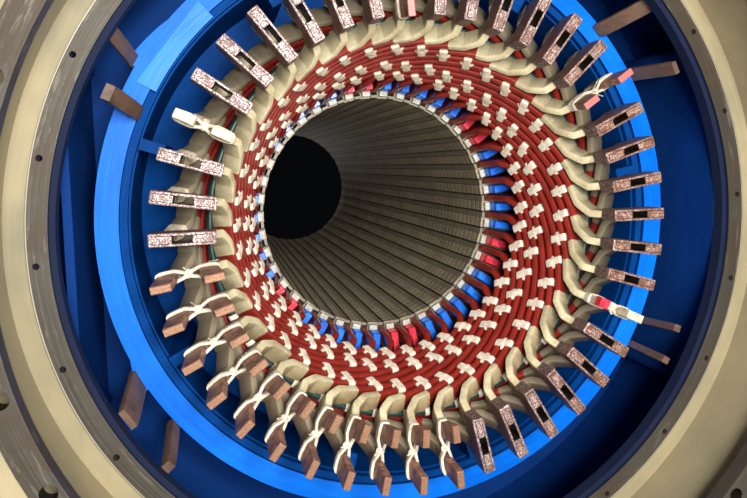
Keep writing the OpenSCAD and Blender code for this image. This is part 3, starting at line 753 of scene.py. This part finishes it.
def bar_line(r0, cone, end_r, hand, stations):
    """Smoothed middle line of a bar's bore side with its frame, in local coordinates.

    The line runs straight out of the slot, then round the cone as an involute, whose neighbours keep
    their distance, then through the elbow to the bare end. A Gaussian mean over equal steps rounds its
    corners. Returns the points, the unit vectors across, away from the bore and along, and the way left
    to the bar's end.
    """
    base = bar_base(r0, cone)
    y = np.linspace(BEND_Y, SLANT_Y, 80)
    r = cone_radius(r0, cone, y)
    turn = BEND_TURN + (involute(base, r) - involute(base, r[0])) / math.sin(cone)
    last_r = r[-1] + (end_r - r[-1]) * (0.45 if hand > 0 else 0.66)
    keys = np.concatenate([
        [[-0.12, r0, 0], [0, r0, 0], [STRAIGHT_Y, cone_radius(r0, cone, STRAIGHT_Y), 0]],
        np.stack([y, r, turn], -1),
        [[ELBOW_Y, last_r, FULL_TURN], [BARE_Y, end_r, FULL_TURN], [BARE_Y + 0.12, end_r, FULL_TURN]],
    ])
    a = hand * keys[:, 2]
    line = np.stack([keys[:, 1] * np.sin(a), keys[:, 0], keys[:, 1] * np.cos(a)], -1)
    way = np.concatenate([[0], np.linalg.norm(np.diff(line, axis=0), axis=1).cumsum()])
    step, reach, sigma = 0.002, 30, 0.0055
    dense = sampled(line, np.linspace(0, way[-1], int(way[-1] / step)), way)
    kernel = np.exp(-0.5 * (np.arange(-reach, reach + 1) * step / sigma) ** 2)
    kernel /= kernel.sum()
    padded = np.concatenate([np.repeat(dense[:1], reach, 0), dense, np.repeat(dense[-1:], reach, 0)])
    smooth = np.stack([np.convolve(column, kernel, "valid") for column in padded.T], -1)
    smooth = smooth[(smooth[:, 1] >= -0.001) & (smooth[:, 1] <= BARE_Y + 0.001)]
    along = np.gradient(smooth, axis=0)
    along /= np.linalg.norm(along, axis=1, keepdims=True)
    bend = np.linalg.norm(np.gradient(along, axis=0), axis=1)
    weight = np.concatenate([[0], (1 + 60 * bend[1:]).cumsum()])
    index = np.arange(len(smooth))
    pick = np.interp(np.linspace(0, weight[-1], stations), weight, index)
    p, t = sampled(smooth, pick), sampled(along, pick)
    t /= np.linalg.norm(t, axis=1, keepdims=True)
    slope = np.arctan2(np.gradient(np.hypot(smooth[:, 0], smooth[:, 2])), np.gradient(smooth[:, 1]))
    slope = np.interp(pick, index, slope)
    angle = np.arctan2(p[:, 0], p[:, 2])
    out = np.stack([np.cos(slope) * np.sin(angle), -np.sin(slope), np.cos(slope) * np.cos(angle)], -1)
    across = cross_unit(t, out)
    left = np.linalg.norm(np.diff(p, axis=0), axis=1)[::-1].cumsum()[::-1]
    return p, across, cross_unit(across, t), t, np.append(left, 0)


def bar_group(name, r0, cone, end_r, hand, cover, end, node, rng):
    """All the overhanging bars of one layer at one end, with small differences from bar to bar."""
    w = bpy.context.scene.stator_winding
    p, across, back, _, left = bar_line(r0, cone, end_r, hand, w.stations)
    covers = cover + rng.uniform(-0.016, 0.016, SLOTS)
    angles = np.arange(SLOTS) * PITCH
    place, side, deep = [turned(v, angles) for v in (p, across, back)]
    span = np.broadcast_to(left, (SLOTS, len(p)))
    wobble = 0.0009 * np.sin(np.linspace(0, 9, len(p)) + rng.uniform(0, 6, (SLOTS, 1)))
    fade = np.clip(np.minimum(span, span[:, :1] - span) / 0.12, 0, 1)
    place = place + side * (wobble * fade)[..., None]
    proud = w.sleeve * np.clip((covers[:, None] - span) / 0.006 + 0.5, 0, 1)
    section = rounded_box(BAR_W, 0.0, BAR_H, w.corner)
    middle, half = np.array([0.0, BAR_H / 2]), np.array([BAR_W / 2, BAR_H / 2])
    grown = middle + (section - middle) * (1 + proud[..., None, None] / half)
    # The lower layer gets shade 1: cream that taped_bar darkens, partly as dust, partly as painted shade.
    part = sweep_at_end(end, place, side, deep, grown, shade=hand < 0, span=span)
    shape = (SLOTS, len(p), len(section))
    # deep, 0 at the bore side and 1 at the back, sets the painted shade between bars in taped_bar.
    extra = {"cover": np.broadcast_to(covers[:, None, None], shape).ravel(),
             "deep": np.broadcast_to(section[:, 1] / BAR_H, shape).ravel()}
    make_piece(name, [part], taped_bar, [node], extra)


class OverhangBars(bpy.types.Operator):
    """Taped bars of both layers at both ends"""
    bl_idname = "stator.overhang_bars"
    bl_label = "Overhanging Bars"

    def execute(self, context):
        w = context.scene.stator_winding
        rng = np.random.default_rng(SEED)
        layers = (("_upper", UPPER_R, UPPER_CONE, UPPER_END_R, 1, w.upper_cover),
                  ("_lower", LOWER_R, LOWER_CONE, LOWER_END_R, -1, w.lower_cover))
        for end, label in ENDS:
            for layer, *shape in layers:
                bar_group(label + layer + "_taped_bars", *shape, end, label + layer + "_bars", rng)
        return {"FINISHED"}


def lacing_parts(end, rng):
    """Lacing in the gaps of the upper layer: a strip over two bars and their sides, a tie along the gap.

    The strip's path goes across the bars: its height over them is a fixed profile of the way across. The
    tie's path goes along the gap and rises over the strip. Both are swept with a flat section.
    """
    w = bpy.context.scene.stator_winding
    p, across, back, along, _ = bar_line(UPPER_R, UPPER_CONE, UPPER_END_R, 1, 160)
    gap = bar_base(UPPER_R, UPPER_CONE) * PITCH
    angles = np.arange(SLOTS) * PITCH
    flat = np.array([[-1, 0], [-0.9, 1], [0.0, 1.25], [0.9, 1], [1, 0], [0.0, -0.3]])
    half_b, half_rise = np.array([[0.28, 0.62, 0.97, 1.05, 1.05], [0.0020, 0.0022, 0.0010, -0.003, -0.012]])
    parts = []

    def strip(path, wide_way, normal, half, thick):
        lines = [path, np.broadcast_to(wide_way, path.shape), np.broadcast_to(normal, path.shape)]
        section = np.stack([half[..., None] * flat[:, 0], flat[:, 1] * thick + 0 * half[..., None]], -1)
        parts.append(sweep_at_end(end, *[turn_each(v, angles) for v in lines], section))

    for station in LACING_AT:
        y = FLARE_Y + (station - FLARE_Y) * math.cos(UPPER_CONE) + rng.uniform(-0.003, 0.003, SLOTS)
        pick = np.interp(y, p[:, 1], np.arange(len(p)))
        here, side, up, forward = [sampled(v, pick)[:, None] for v in (p, across, -back, along)]
        twist = rng.uniform(-0.14, 0.14, (SLOTS, 1))[:, None]
        middle = here + side * gap / 2
        c, s = np.cos(twist), np.sin(twist)
        side, forward = side * c + forward * s, forward * c - side * s
        b = np.concatenate([-half_b[::-1], [0.0], half_b]) * (gap / 2 + BAR_W / 2)
        rise = np.concatenate([half_rise[::-1], [0.0012], half_rise])
        rise = rise + rng.uniform(0, 0.0007, (SLOTS, len(b)))
        path = middle + side * b[None, :, None] + up * rise[..., None]
        normal = cross_unit(np.broadcast_to(forward, path.shape), np.gradient(path, axis=1))
        normal = normal * np.sign(np.einsum("kij,kj->ki", normal, up[:, 0]))[:, 5, None, None]
        half = w.lacing_w / 2 * (1 + rng.uniform(-0.08, 0.08, (SLOTS, len(b))))
        strip(path, forward, normal, half, w.lacing_t)
        reach = w.lacing_w / 2 + rng.uniform(0.006, 0.011, (SLOTS, 1))
        a = np.array([-1.0, -0.72, -0.35, 0.0, 0.35, 0.72, 1.0]) * reach
        lift = np.array([-0.005, 0.0005, 0.0030, 0.0042, 0.0030, 0.0005, -0.005])
        tie = middle + forward * a[..., None] + up * lift[None, :, None]
        tie = tie + side * rng.uniform(-0.0015, 0.0015, (SLOTS, 7))[..., None]
        strip(tie, side, up, 0.0060 * (1 + rng.uniform(-0.2, 0.2, (SLOTS, 7))), 0.0028)
    return parts


class Lacing(bpy.types.Operator):
    """White lacing crosses between the upper bars"""
    bl_idname = "stator.lacing"
    bl_label = "Lacing"

    def execute(self, context):
        rng = np.random.default_rng(SEED + 1)
        for end, label in ENDS:
            make_piece(label + "_lacing", lacing_parts(end, rng), white_tape)
        return {"FINISHED"}


def straight_block(width, y0, y1, low, high, corner, angles, end, shades, shift=0.0):
    """Rounded blocks along the axis at the given angles, chamfered at both ends; the shift moves them."""
    ys = np.array([y0, y0 + CHAMFER, y1 - CHAMFER, y1])
    section = rounded_box(width, low, high, corner)
    middle, half = np.array([0.0, (low + high) / 2]), np.array([width / 2, (high - low) / 2])
    grid = middle + (section - middle) * (1 - (np.array([1, 0, 0, 1]) * CHAMFER)[:, None, None] / half)
    path = turned(np.stack([0 * ys, ys, 0 * ys], -1), angles) + shift
    count = len(angles)
    part = sweep_at_end(end, path, *ways(4, angles), grid)
    part["shade"] = np.repeat([float(shades[0]), float(shades[1])], [count * (3 * len(section) + 1), count])
    return part


def clip_angles(clips):
    return (np.array(clips) + 8.5) * PITCH


def clip_parts(clips, end, rng):
    """Clips: a sleeve whose wall is one closed loop of outer and inner rings, so it is a solid frame."""
    outer = rounded_box(CLIP_W, CLIP_R, CLIP_END_R, 0.003)
    inner = rounded_box(CLIP_W - 2 * CLIP_WALL, CLIP_R + CLIP_WALL, CLIP_END_R - CLIP_WALL, 0.0015)
    centre = np.array([0.0, (CLIP_R + CLIP_END_R) / 2])
    half = np.array([CLIP_W / 2, (CLIP_END_R - CLIP_R) / 2])
    tight = centre + (outer - centre) * (1 - 0.002 / half)
    rings = np.stack([tight, outer, outer, outer, outer, tight, inner, inner])
    ys = np.array([BARE_Y, BARE_Y + 0.002, BARE_Y + 0.025, BARE_Y + 0.05,
                   TIP_Y - 0.002, TIP_Y, TIP_Y, BARE_Y])
    count, n, m = len(clips), len(ys), len(outer)
    rough = rng.normal(0, 0.0006, (count, n, m, 1)) * np.array([1, 1, 1, 1, 1, 1, 0, 0])[None, :, None, None]
    ray = rings - centre
    section = rings + ray / np.linalg.norm(ray, axis=-1, keepdims=True) * rough
    path = turned(np.stack([0 * ys, ys, 0 * ys], -1), clip_angles(clips))
    part = sweep_at_end(end, path, *ways(n, clip_angles(clips)), section, closed=True)
    shade = np.zeros((count, n, m))
    shade[:, 4:6] = 1
    shade[:, :4, (np.roll(outer, -1, 0)[:, 1] + outer[:, 1]) / 2 < CLIP_R + 0.002] = 2
    # Shade 3: the window's inner wall, painted near-black as shade.
    shade[:, 6] = 3
    part["shade"] = shade.ravel()
    return part


def bar_end_parts(clips, end, proud, shades, length=TIP_Y - BARE_Y, spread=0.0, width=BAR_W, slew=0.0):
    """Both bare ends of each coil as blocks of strands; spread leans the tips apart, and slew clockwise."""
    angles = clip_angles(clips)
    grow = (width - BAR_W) / 2
    parts = []
    for r, way in ((UPPER_END_R, -1), (LOWER_END_R, 1)):
        lean = np.array([0, 0, 1 - CHAMFER / length, 1])
        shift = way_at_end(turned(np.stack([lean * slew, 0 * lean, lean * way * spread], -1), angles), end)
        parts.append(straight_block(width, BARE_Y - 0.004, BARE_Y + length + proud, r - grow,
                                    r + BAR_H + grow, STRAND_CORNER, angles, end, shades, shift))
    return parts


class Clips(bpy.types.Operator):
    """Brazed clips and the bare strands of the bars, at both ends"""
    bl_idname = "stator.clips"
    bl_label = "Clips and Bar Ends"

    def execute(self, context):
        rng = np.random.default_rng(SEED + 2)
        closed = [k for k in range(SLOTS) if k not in OPEN_CLIPS + PALE_CLIPS]
        for (end, label), brazed in zip(ENDS, (closed, range(SLOTS))):
            # (3, 1): the ends' sides in the window are painted near-black as shade, their tips bright.
            sleeves, strands = [clip_parts(brazed, end, rng)], bar_end_parts(brazed, end, 0.0008, (3, 1))
            make_piece(label + "_brazed_clips", sleeves, clip_copper, [label + "_clips"])
            make_piece(label + "_brazed_ends", strands, clip_copper, [label + "_bar_ends"])
        plain = [k for k in OPEN_CLIPS if k not in PINK_CLIPS]
        parts = bar_end_parts(plain, FRONT, 0.0, (0, 1), OPEN_L, OPEN_RISE, slew=OPEN_SLEW)
        parts += bar_end_parts(PINK_CLIPS, FRONT, 0.0, (0, 3), OPEN_L, OPEN_RISE)
        make_piece("front_open_strands", parts, strand_copper)
        pale = bar_end_parts(PALE_CLIPS, FRONT, 0.004, (0, 0), width=BAR_W + 0.004)
        make_piece("front_pale_ends", pale, pale_tape)
        band = straight_block(BAR_W + 0.0065, BARE_Y + 0.052, TIP_Y + 0.0065, UPPER_END_R - 0.0032,
                              UPPER_END_R + 0.030, STRAND_CORNER, clip_angles(PALE_CLIPS[:1]), FRONT, (1, 1))
        make_piece("front_red_band", [band], block_laminate)
        return {"FINISHED"}


def cord_parts(clips, end, rng):
    """White flat cord round each open pair, in two lays, with a knot and two tails.

    A lay's path is a loop drawn in at its middle: for t from 0 to a full turn its height is a power of
    cos t, and its half width is a power of sin t times 1 - 0.78 exp(-(height / 19 mm)^2). It is swept with
    a flat section, broader towards the bore.
    """
    angles = clip_angles(clips)
    count = len(angles)
    parts = []

    def add(path, across, normal, section, **more):
        parts.append(sweep_at_end(end, path, across, normal, section, **more))

    t = np.linspace(0, 2 * np.pi, 48, endpoint=False)
    top, low = LOWER_END_R + BAR_H + CORD_GAP, UPPER_END_R - CORD_GAP
    middle, half = (top + low) / 2, (top - low) / 2
    z = np.sign(np.cos(t)) * np.abs(np.cos(t)) ** 0.45 * half
    side = np.sign(np.sin(t)) * np.abs(np.sin(t)) ** 0.35
    x = side * (BAR_W / 2 + CORD_GAP) * (1 - 0.78 * np.exp(-(z / 0.019) ** 2))
    hexagon = np.array([[-1, 0], [-0.6, 1], [0.6, 1], [1, 0], [0.6, -1], [-0.6, -1]])
    broad = 1 + 0.75 * np.clip(-1.6 * z / half, 0, 1)
    strap = hexagon * np.array([0.0058, 0.0042]) * np.stack([broad, 0 * broad + 1], -1)[:, None]
    for lay in (0.003, 0.0125):
        shake, phase = rng.uniform(-0.0015, 0.0015, (count, 1)), rng.uniform(0, 6, (count, 1))
        y = BARE_Y + lay + shake + 0.0025 * np.sin(t + phase) + 0.012 * np.exp(-(z / 0.02) ** 2)
        path = turn_each(np.stack([x + 0 * y, y, middle + z + 0 * y], -1), angles)
        out = np.broadcast_to([0.0, 1.0, 0.0], path.shape)
        add(path, out, cross_unit(np.roll(path, -1, 1) - np.roll(path, 1, 1), out), strap, closed=True)
    reach = np.linspace(0, 1, 7)
    width = np.interp(reach, [0, 0.6, 1], [0.0050, 0.0036, 0.0044])[None, :, None, None]
    for way in (-1, 1):
        lean = rng.uniform(0.3, 1.0, (count, 1)) * way
        length = rng.uniform(0.012, 0.028, (count, 1))
        tail = np.stack([0.010 + lean * length * reach, BARE_Y + 0.016 + length * reach ** 0.8 * 0.9,
                         middle + 0.5 * lean * length * reach], -1)
        tail = turn_each(tail, angles)
        along = np.gradient(tail, axis=1)
        across = cross_unit(along, np.broadcast_to([0.1, 0.2, 1.0], tail.shape))
        add(tail, across, cross_unit(along, across), width * np.array([[-1, 0], [0, 0.4], [1, 0], [0, -0.4]]))
    turn = np.linspace(0, np.pi, 9)
    knot = np.stack([0 * turn + 0.002, BARE_Y + 0.018 - 0.010 * np.cos(turn), middle + 0 * turn], -1)
    ring = round_section(1.0, 8) * np.array([0.014, 0.012])
    lumps = rng.uniform(0.8, 1.15, (count, len(turn), 8, 1))
    swell = np.maximum(np.sin(turn), 0.05)[None, :, None, None]
    add(turned(knot, angles), *ways(len(turn), angles), ring * swell * lumps)
    return parts


class Cords(bpy.types.Operator):
    """White cords that hold the open bar ends together"""
    bl_idname = "stator.cords"
    bl_label = "Binding Cords"

    def execute(self, context):
        parts = cord_parts(OPEN_CLIPS + PALE_CLIPS, FRONT, np.random.default_rng(SEED + 3))
        make_piece("front_end_bindings", parts, white_tape)
        return {"FINISHED"}


class SpacerBlocks(bpy.types.Operator):
    """Blue and red blocks between the bars where they leave the slots"""
    bl_idname = "stator.spacer_blocks"
    bl_label = "Spacer Blocks"

    def execute(self, context):
        low, high = UPPER_R + 0.004, LOWER_R + BAR_H
        # Width, first and last place outwards from the core, inner and outer radius
        shapes = (0.030, 0.0226, 0.052, low, high), (0.0265, 0.0535, 0.0826, low + 0.002, high - 0.003)
        for end, label in ENDS:
            parts = []
            for red in (0, 1):
                angles = (np.array([k for k in range(SLOTS) if (k in RED_BLOCKS) == bool(red)]) + 0.5) * PITCH
                parts += [straight_block(*shape, BLOCK_CORNER, angles, end, (red, red)) for shape in shapes]
            make_piece(label + "_spacer_blocks", parts, block_laminate, [label + "_spacers"])
        return {"FINISHED"}


def ring_path(radius, y, steps):
    """A circle round the axis, (r sin t, y, r cos t), with its ways along the axis and outwards."""
    t = np.linspace(0, 2 * np.pi, steps, endpoint=False)
    out = np.stack([np.sin(t), 0 * t, np.cos(t)], -1)[None]
    return out * radius + np.array([0, y, 0]), np.broadcast_to([0.0, 1.0, 0.0], out.shape), out


class SupportRings(bpy.types.Operator):
    """Taped support rings between the layers, with white ties"""
    bl_idname = "stator.support_rings"
    bl_label = "Support Rings"

    def execute(self, context):
        rng = np.random.default_rng(SEED + 4)
        back = cone_radius(UPPER_R, UPPER_CONE, RING_Y) + BAR_H / math.cos(UPPER_CONE)
        radius = back + 0.0113 / math.cos(UPPER_CONE)
        for end, label in ENDS:
            ring = [sweep_at_end(end, *ring_path(radius, RING_Y, 168), round_section(0.011, 12), closed=True)]
            make_piece(label + "_taped_ring", ring, green_tape, [label + "_support_ring"])
            angles = (np.arange(SLOTS) + 0.5) * PITCH + rng.uniform(-0.02, 0.02, SLOTS)
            t = np.linspace(0, 2 * np.pi, 10, endpoint=False)
            loop = np.stack([0 * t, RING_Y + TIE_R * np.cos(t), radius + TIE_R * np.sin(t)], -1)
            normal = turned(np.stack([0 * t, np.cos(t), np.sin(t)], -1), angles)
            flat = np.array([[-0.008, 0], [-0.006, 0.002], [0.006, 0.002], [0.008, 0], [0.0, -0.001]])
            ties = sweep_at_end(end, turned(loop, angles), ways(10, angles)[0], normal, flat, closed=True)
            make_piece(label + "_ring_ties", [ties], white_tape)
        return {"FINISHED"}


class LeadBands(bpy.types.Operator):
    """Pale tape bands round the lower bars just behind their clips"""
    bl_idname = "stator.lead_bands"
    bl_label = "Tape Bands"

    def execute(self, context):
        p, across, back, _, left = bar_line(LOWER_R, LOWER_CONE, LOWER_END_R, -1, 120)
        pick = np.interp(LEAD_BANDS_LEFT, left[::-1], np.arange(len(p))[::-1]).astype(int)
        section = rounded_box(BAR_W + 0.0040, -0.0020, BAR_H + 0.0030, 0.0045)
        for (end, label), coils in zip(ENDS, (range(23, 40), range(SLOTS))):
            angles = (np.array(coils) + 17) * PITCH
            part = sweep_at_end(end, *[turned(v[pick], angles) for v in (p, across, back)], section)
            make_piece(label + "_lead_bands", [part], pale_tape)
        return {"FINISHED"}


def flange_sector(first, last, inner, outer, low, high):
    """A plate across the axis between two angles in degrees, whose radii are functions of the angle."""
    a = np.radians(np.linspace(first, last, 20))
    outwards = np.stack([np.sin(a), 0 * a, np.cos(a)], -1)[None]
    section = np.zeros((1, 20, 4, 2))
    section[0, :, :, 0] = np.stack([inner(a), outer(a), outer(a), inner(a)], -1)
    section[0, :, :, 1] = [low, low, high, high]
    start = np.zeros((1, 20, 3))
    return sweep_at_end(FRONT, start, outwards, start + [0.0, 1.0, 0.0], section)


class FlangePlate(bpy.types.Operator):
    """Light blue plate on the front flange, with a straight outer edge, and the tabs beside two leads"""
    bl_idname = "stator.flange_plate"
    bl_label = "Flange Plate"

    def execute(self, context):
        plate = flange_sector(*PLATE_ANGLES, lambda a: PLATE_IN + 0 * a,
                              lambda a: PLATE_OUT / np.cos(a - PLATE_MIDDLE), FLANGE_OUT - 0.014,
                              FLANGE_OUT + 0.006)
        make_piece("flange_plate", [plate], light_blue_paint, angle=0.3)
        tabs = []
        for first, last in TAB_ANGLES:
            def edge(a):
                past = (a - math.radians(first)) / math.radians(last - first)
                return TAB_OUT + TAB_RISE * np.clip(1 - past, 0, 1) ** 0.8
            tabs.append(flange_sector(first, last, lambda a: TAB_IN + 0 * a, edge, FLANGE_BACK,
                                      FLANGE_OUT - 0.004))
        make_piece("flange_tabs", tabs, blue_paint, angle=0.3)
        return {"FINISHED"}


# Leads: angle and radius at the flange, angle and radius at the free end, width round the axis, thickness
LEADS = [
    (48.6, 0.930, 49.3, 1.030, 0.050, 0.020), (60.6, 0.956, 61.7, 0.975, 0.044, 0.018),
    (115.2, 0.958, 114.2, 0.948, 0.024, 0.026), (120.6, 0.960, 120.9, 0.957, 0.024, 0.026),
    (231.8, 0.962, 230.1, 0.988, 0.030, 0.030), (242.6, 0.957, 240.3, 0.985, 0.068, 0.020),
    (293.5, 0.884, 294.5, 0.946, 0.046, 0.026), (301.6, 0.955, 303.1, 1.012, 0.040, 0.014),
]


class Leads(bpy.types.Operator):
    """Copper phase leads, each bent a little on its way outwards"""
    bl_idname = "stator.leads"
    bl_label = "Phase Leads"

    def execute(self, context):
        parts = []
        t = np.linspace(0, 1, 9)
        ends = np.where((t == 0) | (t == 1), 0.93, 1.0)[None, :, None, None]
        for a0, r0, a1, r1, width, thick in LEADS:
            # A lead within the flange's edge stands on its face, and the others start beside it
            start = FLANGE_OUT + 0.0065 if r0 < TAB_IN else FLANGE_BACK
            a = np.radians(a0 + (a1 - a0) * t)
            r = r0 + (r1 - r0) * t ** 1.3
            path = np.stack([r * np.sin(a), start + (LEAD_END - start) * t, r * np.cos(a)], -1)[None]
            normal = np.stack([np.sin(a), 0 * a, np.cos(a)], -1)[None]
            across = cross_unit(np.gradient(path, axis=1), normal)
            section = rounded_box(width, -thick / 2, thick / 2, 0.002) * ends
            parts.append(sweep_at_end(FRONT, path, across, normal, section))
        make_piece("front_phase_leads", parts, lead_copper, ["phase_leads"])
        return {"FINISHED"}


class Welds(bpy.types.Operator):
    """Weld beads on the casing, along both edges of its bands"""
    bl_idname = "stator.welds"
    bl_label = "Weld Beads"

    def execute(self, context):
        rng = np.random.default_rng(SEED + 6)
        t = np.linspace(0, 2 * np.pi, 360, endpoint=False)
        parts = []
        for y in WELD_BANDS:
            for side in (-1, 1):
                path, way, out = ring_path(BARREL_R + 0.001, y + side * WELD_ASIDE, 360)
                bead = WELD_HALF * (1 + 0.18 * np.sin(t * 180) + rng.uniform(-0.1, 0.1, 360))
                section = bead[None, :, None, None] * round_section(1.0, 6)
                parts.append(sweep(path + np.array([0, 0, AXIS_Z]), way, out, section, closed=True))
        make_piece("casing_welds", parts, weld_steel)
        return {"FINISHED"}


class FrameFinishes(bpy.types.Operator):
    """Procedural materials for the solids that stay as they are"""
    bl_idname = "stator.frame_finishes"
    bl_label = "Frame Finishes"

    def execute(self, context):
        slots = {row["node"]: row["material_slot"] for row in frame["record"]["subparts"]}
        for name, node in frame["nodes"].items():
            node.data.materials.clear()
            node.data.materials.append(material(FINISHES[slots[name]]))
        return {"FINISHED"}


# Soft lights: name, place, target, size and share of the key light's power
LIGHTS = (
    ("key", (0.1, -5.1, 2.2), (0.1, -1.7, 1.3), 0.8, 1.0),
    ("fill", (-0.4, -5.6, 0.7), (0.0, -1.9, 1.3), 1.2, 0.22),
    ("bore", (-0.5, -4.8, 1.7), (0.2, 0.0, 1.2), 0.4, 0.42),
    ("top", (0.0, 0.5, 6.0), (0.0, 0.0, 1.4), 3.5, 2.3),
    ("side", (5.5, 1.0, 3.0), (0.0, 0.0, 1.4), 3.0, 2.2),
    ("back", (-4.9, 4.0, 3.6), (0.0, 1.5, 1.4), 2.5, 2.6),
)
KEY_TINT, PLAIN_TINT = (1.0, 0.99, 0.97), (1.0, 1.0, 1.0)

# The camera, as the photo's perspective gives it: place, turns in degrees and shift of the lens
CAMERA_AT = (-0.5948, -3.9205, 1.5893)
CAMERA_TURNS = (("Y", 1.757), ("Z", -13.36), ("X", 86.748))
CAMERA_SHIFT = (0.0031, -0.0606)
SENSOR_W = 36


class Stage(bpy.types.Operator):
    """Pale floor, soft light and the camera"""
    bl_idname = "stator.stage"
    bl_label = "Stage"

    def execute(self, context):
        scene = context.scene
        s = scene.stator_stage
        mesh = bpy.data.meshes.new("floor")
        mesh.from_pydata([(-9, -9, 0), (9, -9, 0), (9, 8, 0), (-9, 8, 0)], [], [(0, 1, 2, 3)])
        floor = bpy.data.objects.new("floor", mesh)
        scene.collection.objects.link(floor)
        mesh.materials.append(material(floor_finish))
        scene.world = bpy.data.worlds.new("studio")
        scene.world.use_nodes = True
        g = Graph(scene.world.node_tree)
        _, ahead, height = g.split(g.out("Generated", "TexCoord"))
        sky = g.layers((0.24, 0.25, 0.27), (g.smooth(height, 0.1, 0.8), (0.85, 0.90, 1.0)),
                       (g.smooth(ahead, 0.62, 0.80), (0.010, 0.011, 0.013)))
        background = g.tree.nodes["Background"]
        g.feed(background.inputs[0], sky)
        background.inputs[1].default_value = s.dome
        scene.view_settings.view_transform = "Standard"
        for name, place, target, side, share in LIGHTS:
            data = bpy.data.lights.new(name, "AREA")
            data.shape, data.size, data.energy = "SQUARE", side, s.key * share
            data.color = KEY_TINT if name == "key" else PLAIN_TINT
            lamp = bpy.data.objects.new(name, data)
            lamp.location = place
            lamp.rotation_euler = (Vector(target) - Vector(place)).to_track_quat("-Z", "Y").to_euler()
            scene.collection.objects.link(lamp)
        data = bpy.data.cameras.new("camera")
        data.lens, data.sensor_width = s.lens, SENSOR_W
        data.shift_x, data.shift_y = CAMERA_SHIFT
        camera = bpy.data.objects.new("camera", data)
        roll, yaw, pitch = [Matrix.Rotation(math.radians(angle), 3, axis) for axis, angle in CAMERA_TURNS]
        camera.location = CAMERA_AT
        camera.rotation_euler = (roll @ yaw @ pitch).to_euler()
        scene.collection.objects.link(camera)
        scene.camera = camera
        return {"FINISHED"}


class StatorPanel(bpy.types.Panel):
    """Sidebar panel with the stator's steps"""
    bl_idname = "VIEW3D_PT_stator"
    bl_label = "Stator"
    bl_space_type = "VIEW_3D"
    bl_region_type = "UI"
    bl_category = "Stator"

    def draw(self, context):
        for step in STEPS:
            self.layout.operator(step.bl_idname)


STEPS = (FrameFinishes, OverhangBars, Lacing, Clips, Cords, SpacerBlocks, SupportRings, LeadBands,
         FlangePlate, Leads, Welds, Stage)
GROUPS = (("stator_winding", StatorWinding), ("stator_colours", StatorColours), ("stator_stage", StatorStage))


def register():
    for cls in (*[g for _, g in GROUPS], *STEPS, StatorPanel):
        bpy.utils.register_class(cls)
    for name, cls in GROUPS:
        setattr(bpy.types.Scene, name, bpy.props.PointerProperty(type=cls))


def unregister():
    for name, _ in GROUPS:
        delattr(bpy.types.Scene, name)
    for cls in (StatorPanel, *reversed(STEPS), *[g for _, g in GROUPS]):
        bpy.utils.unregister_class(cls)


def main():
    """Registers the add-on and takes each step."""
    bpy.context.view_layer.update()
    register()
    for step in STEPS:
        area, name = step.bl_idname.split(".")
        getattr(getattr(bpy.ops, area), name)()


if __name__ == "__main__":
    main()
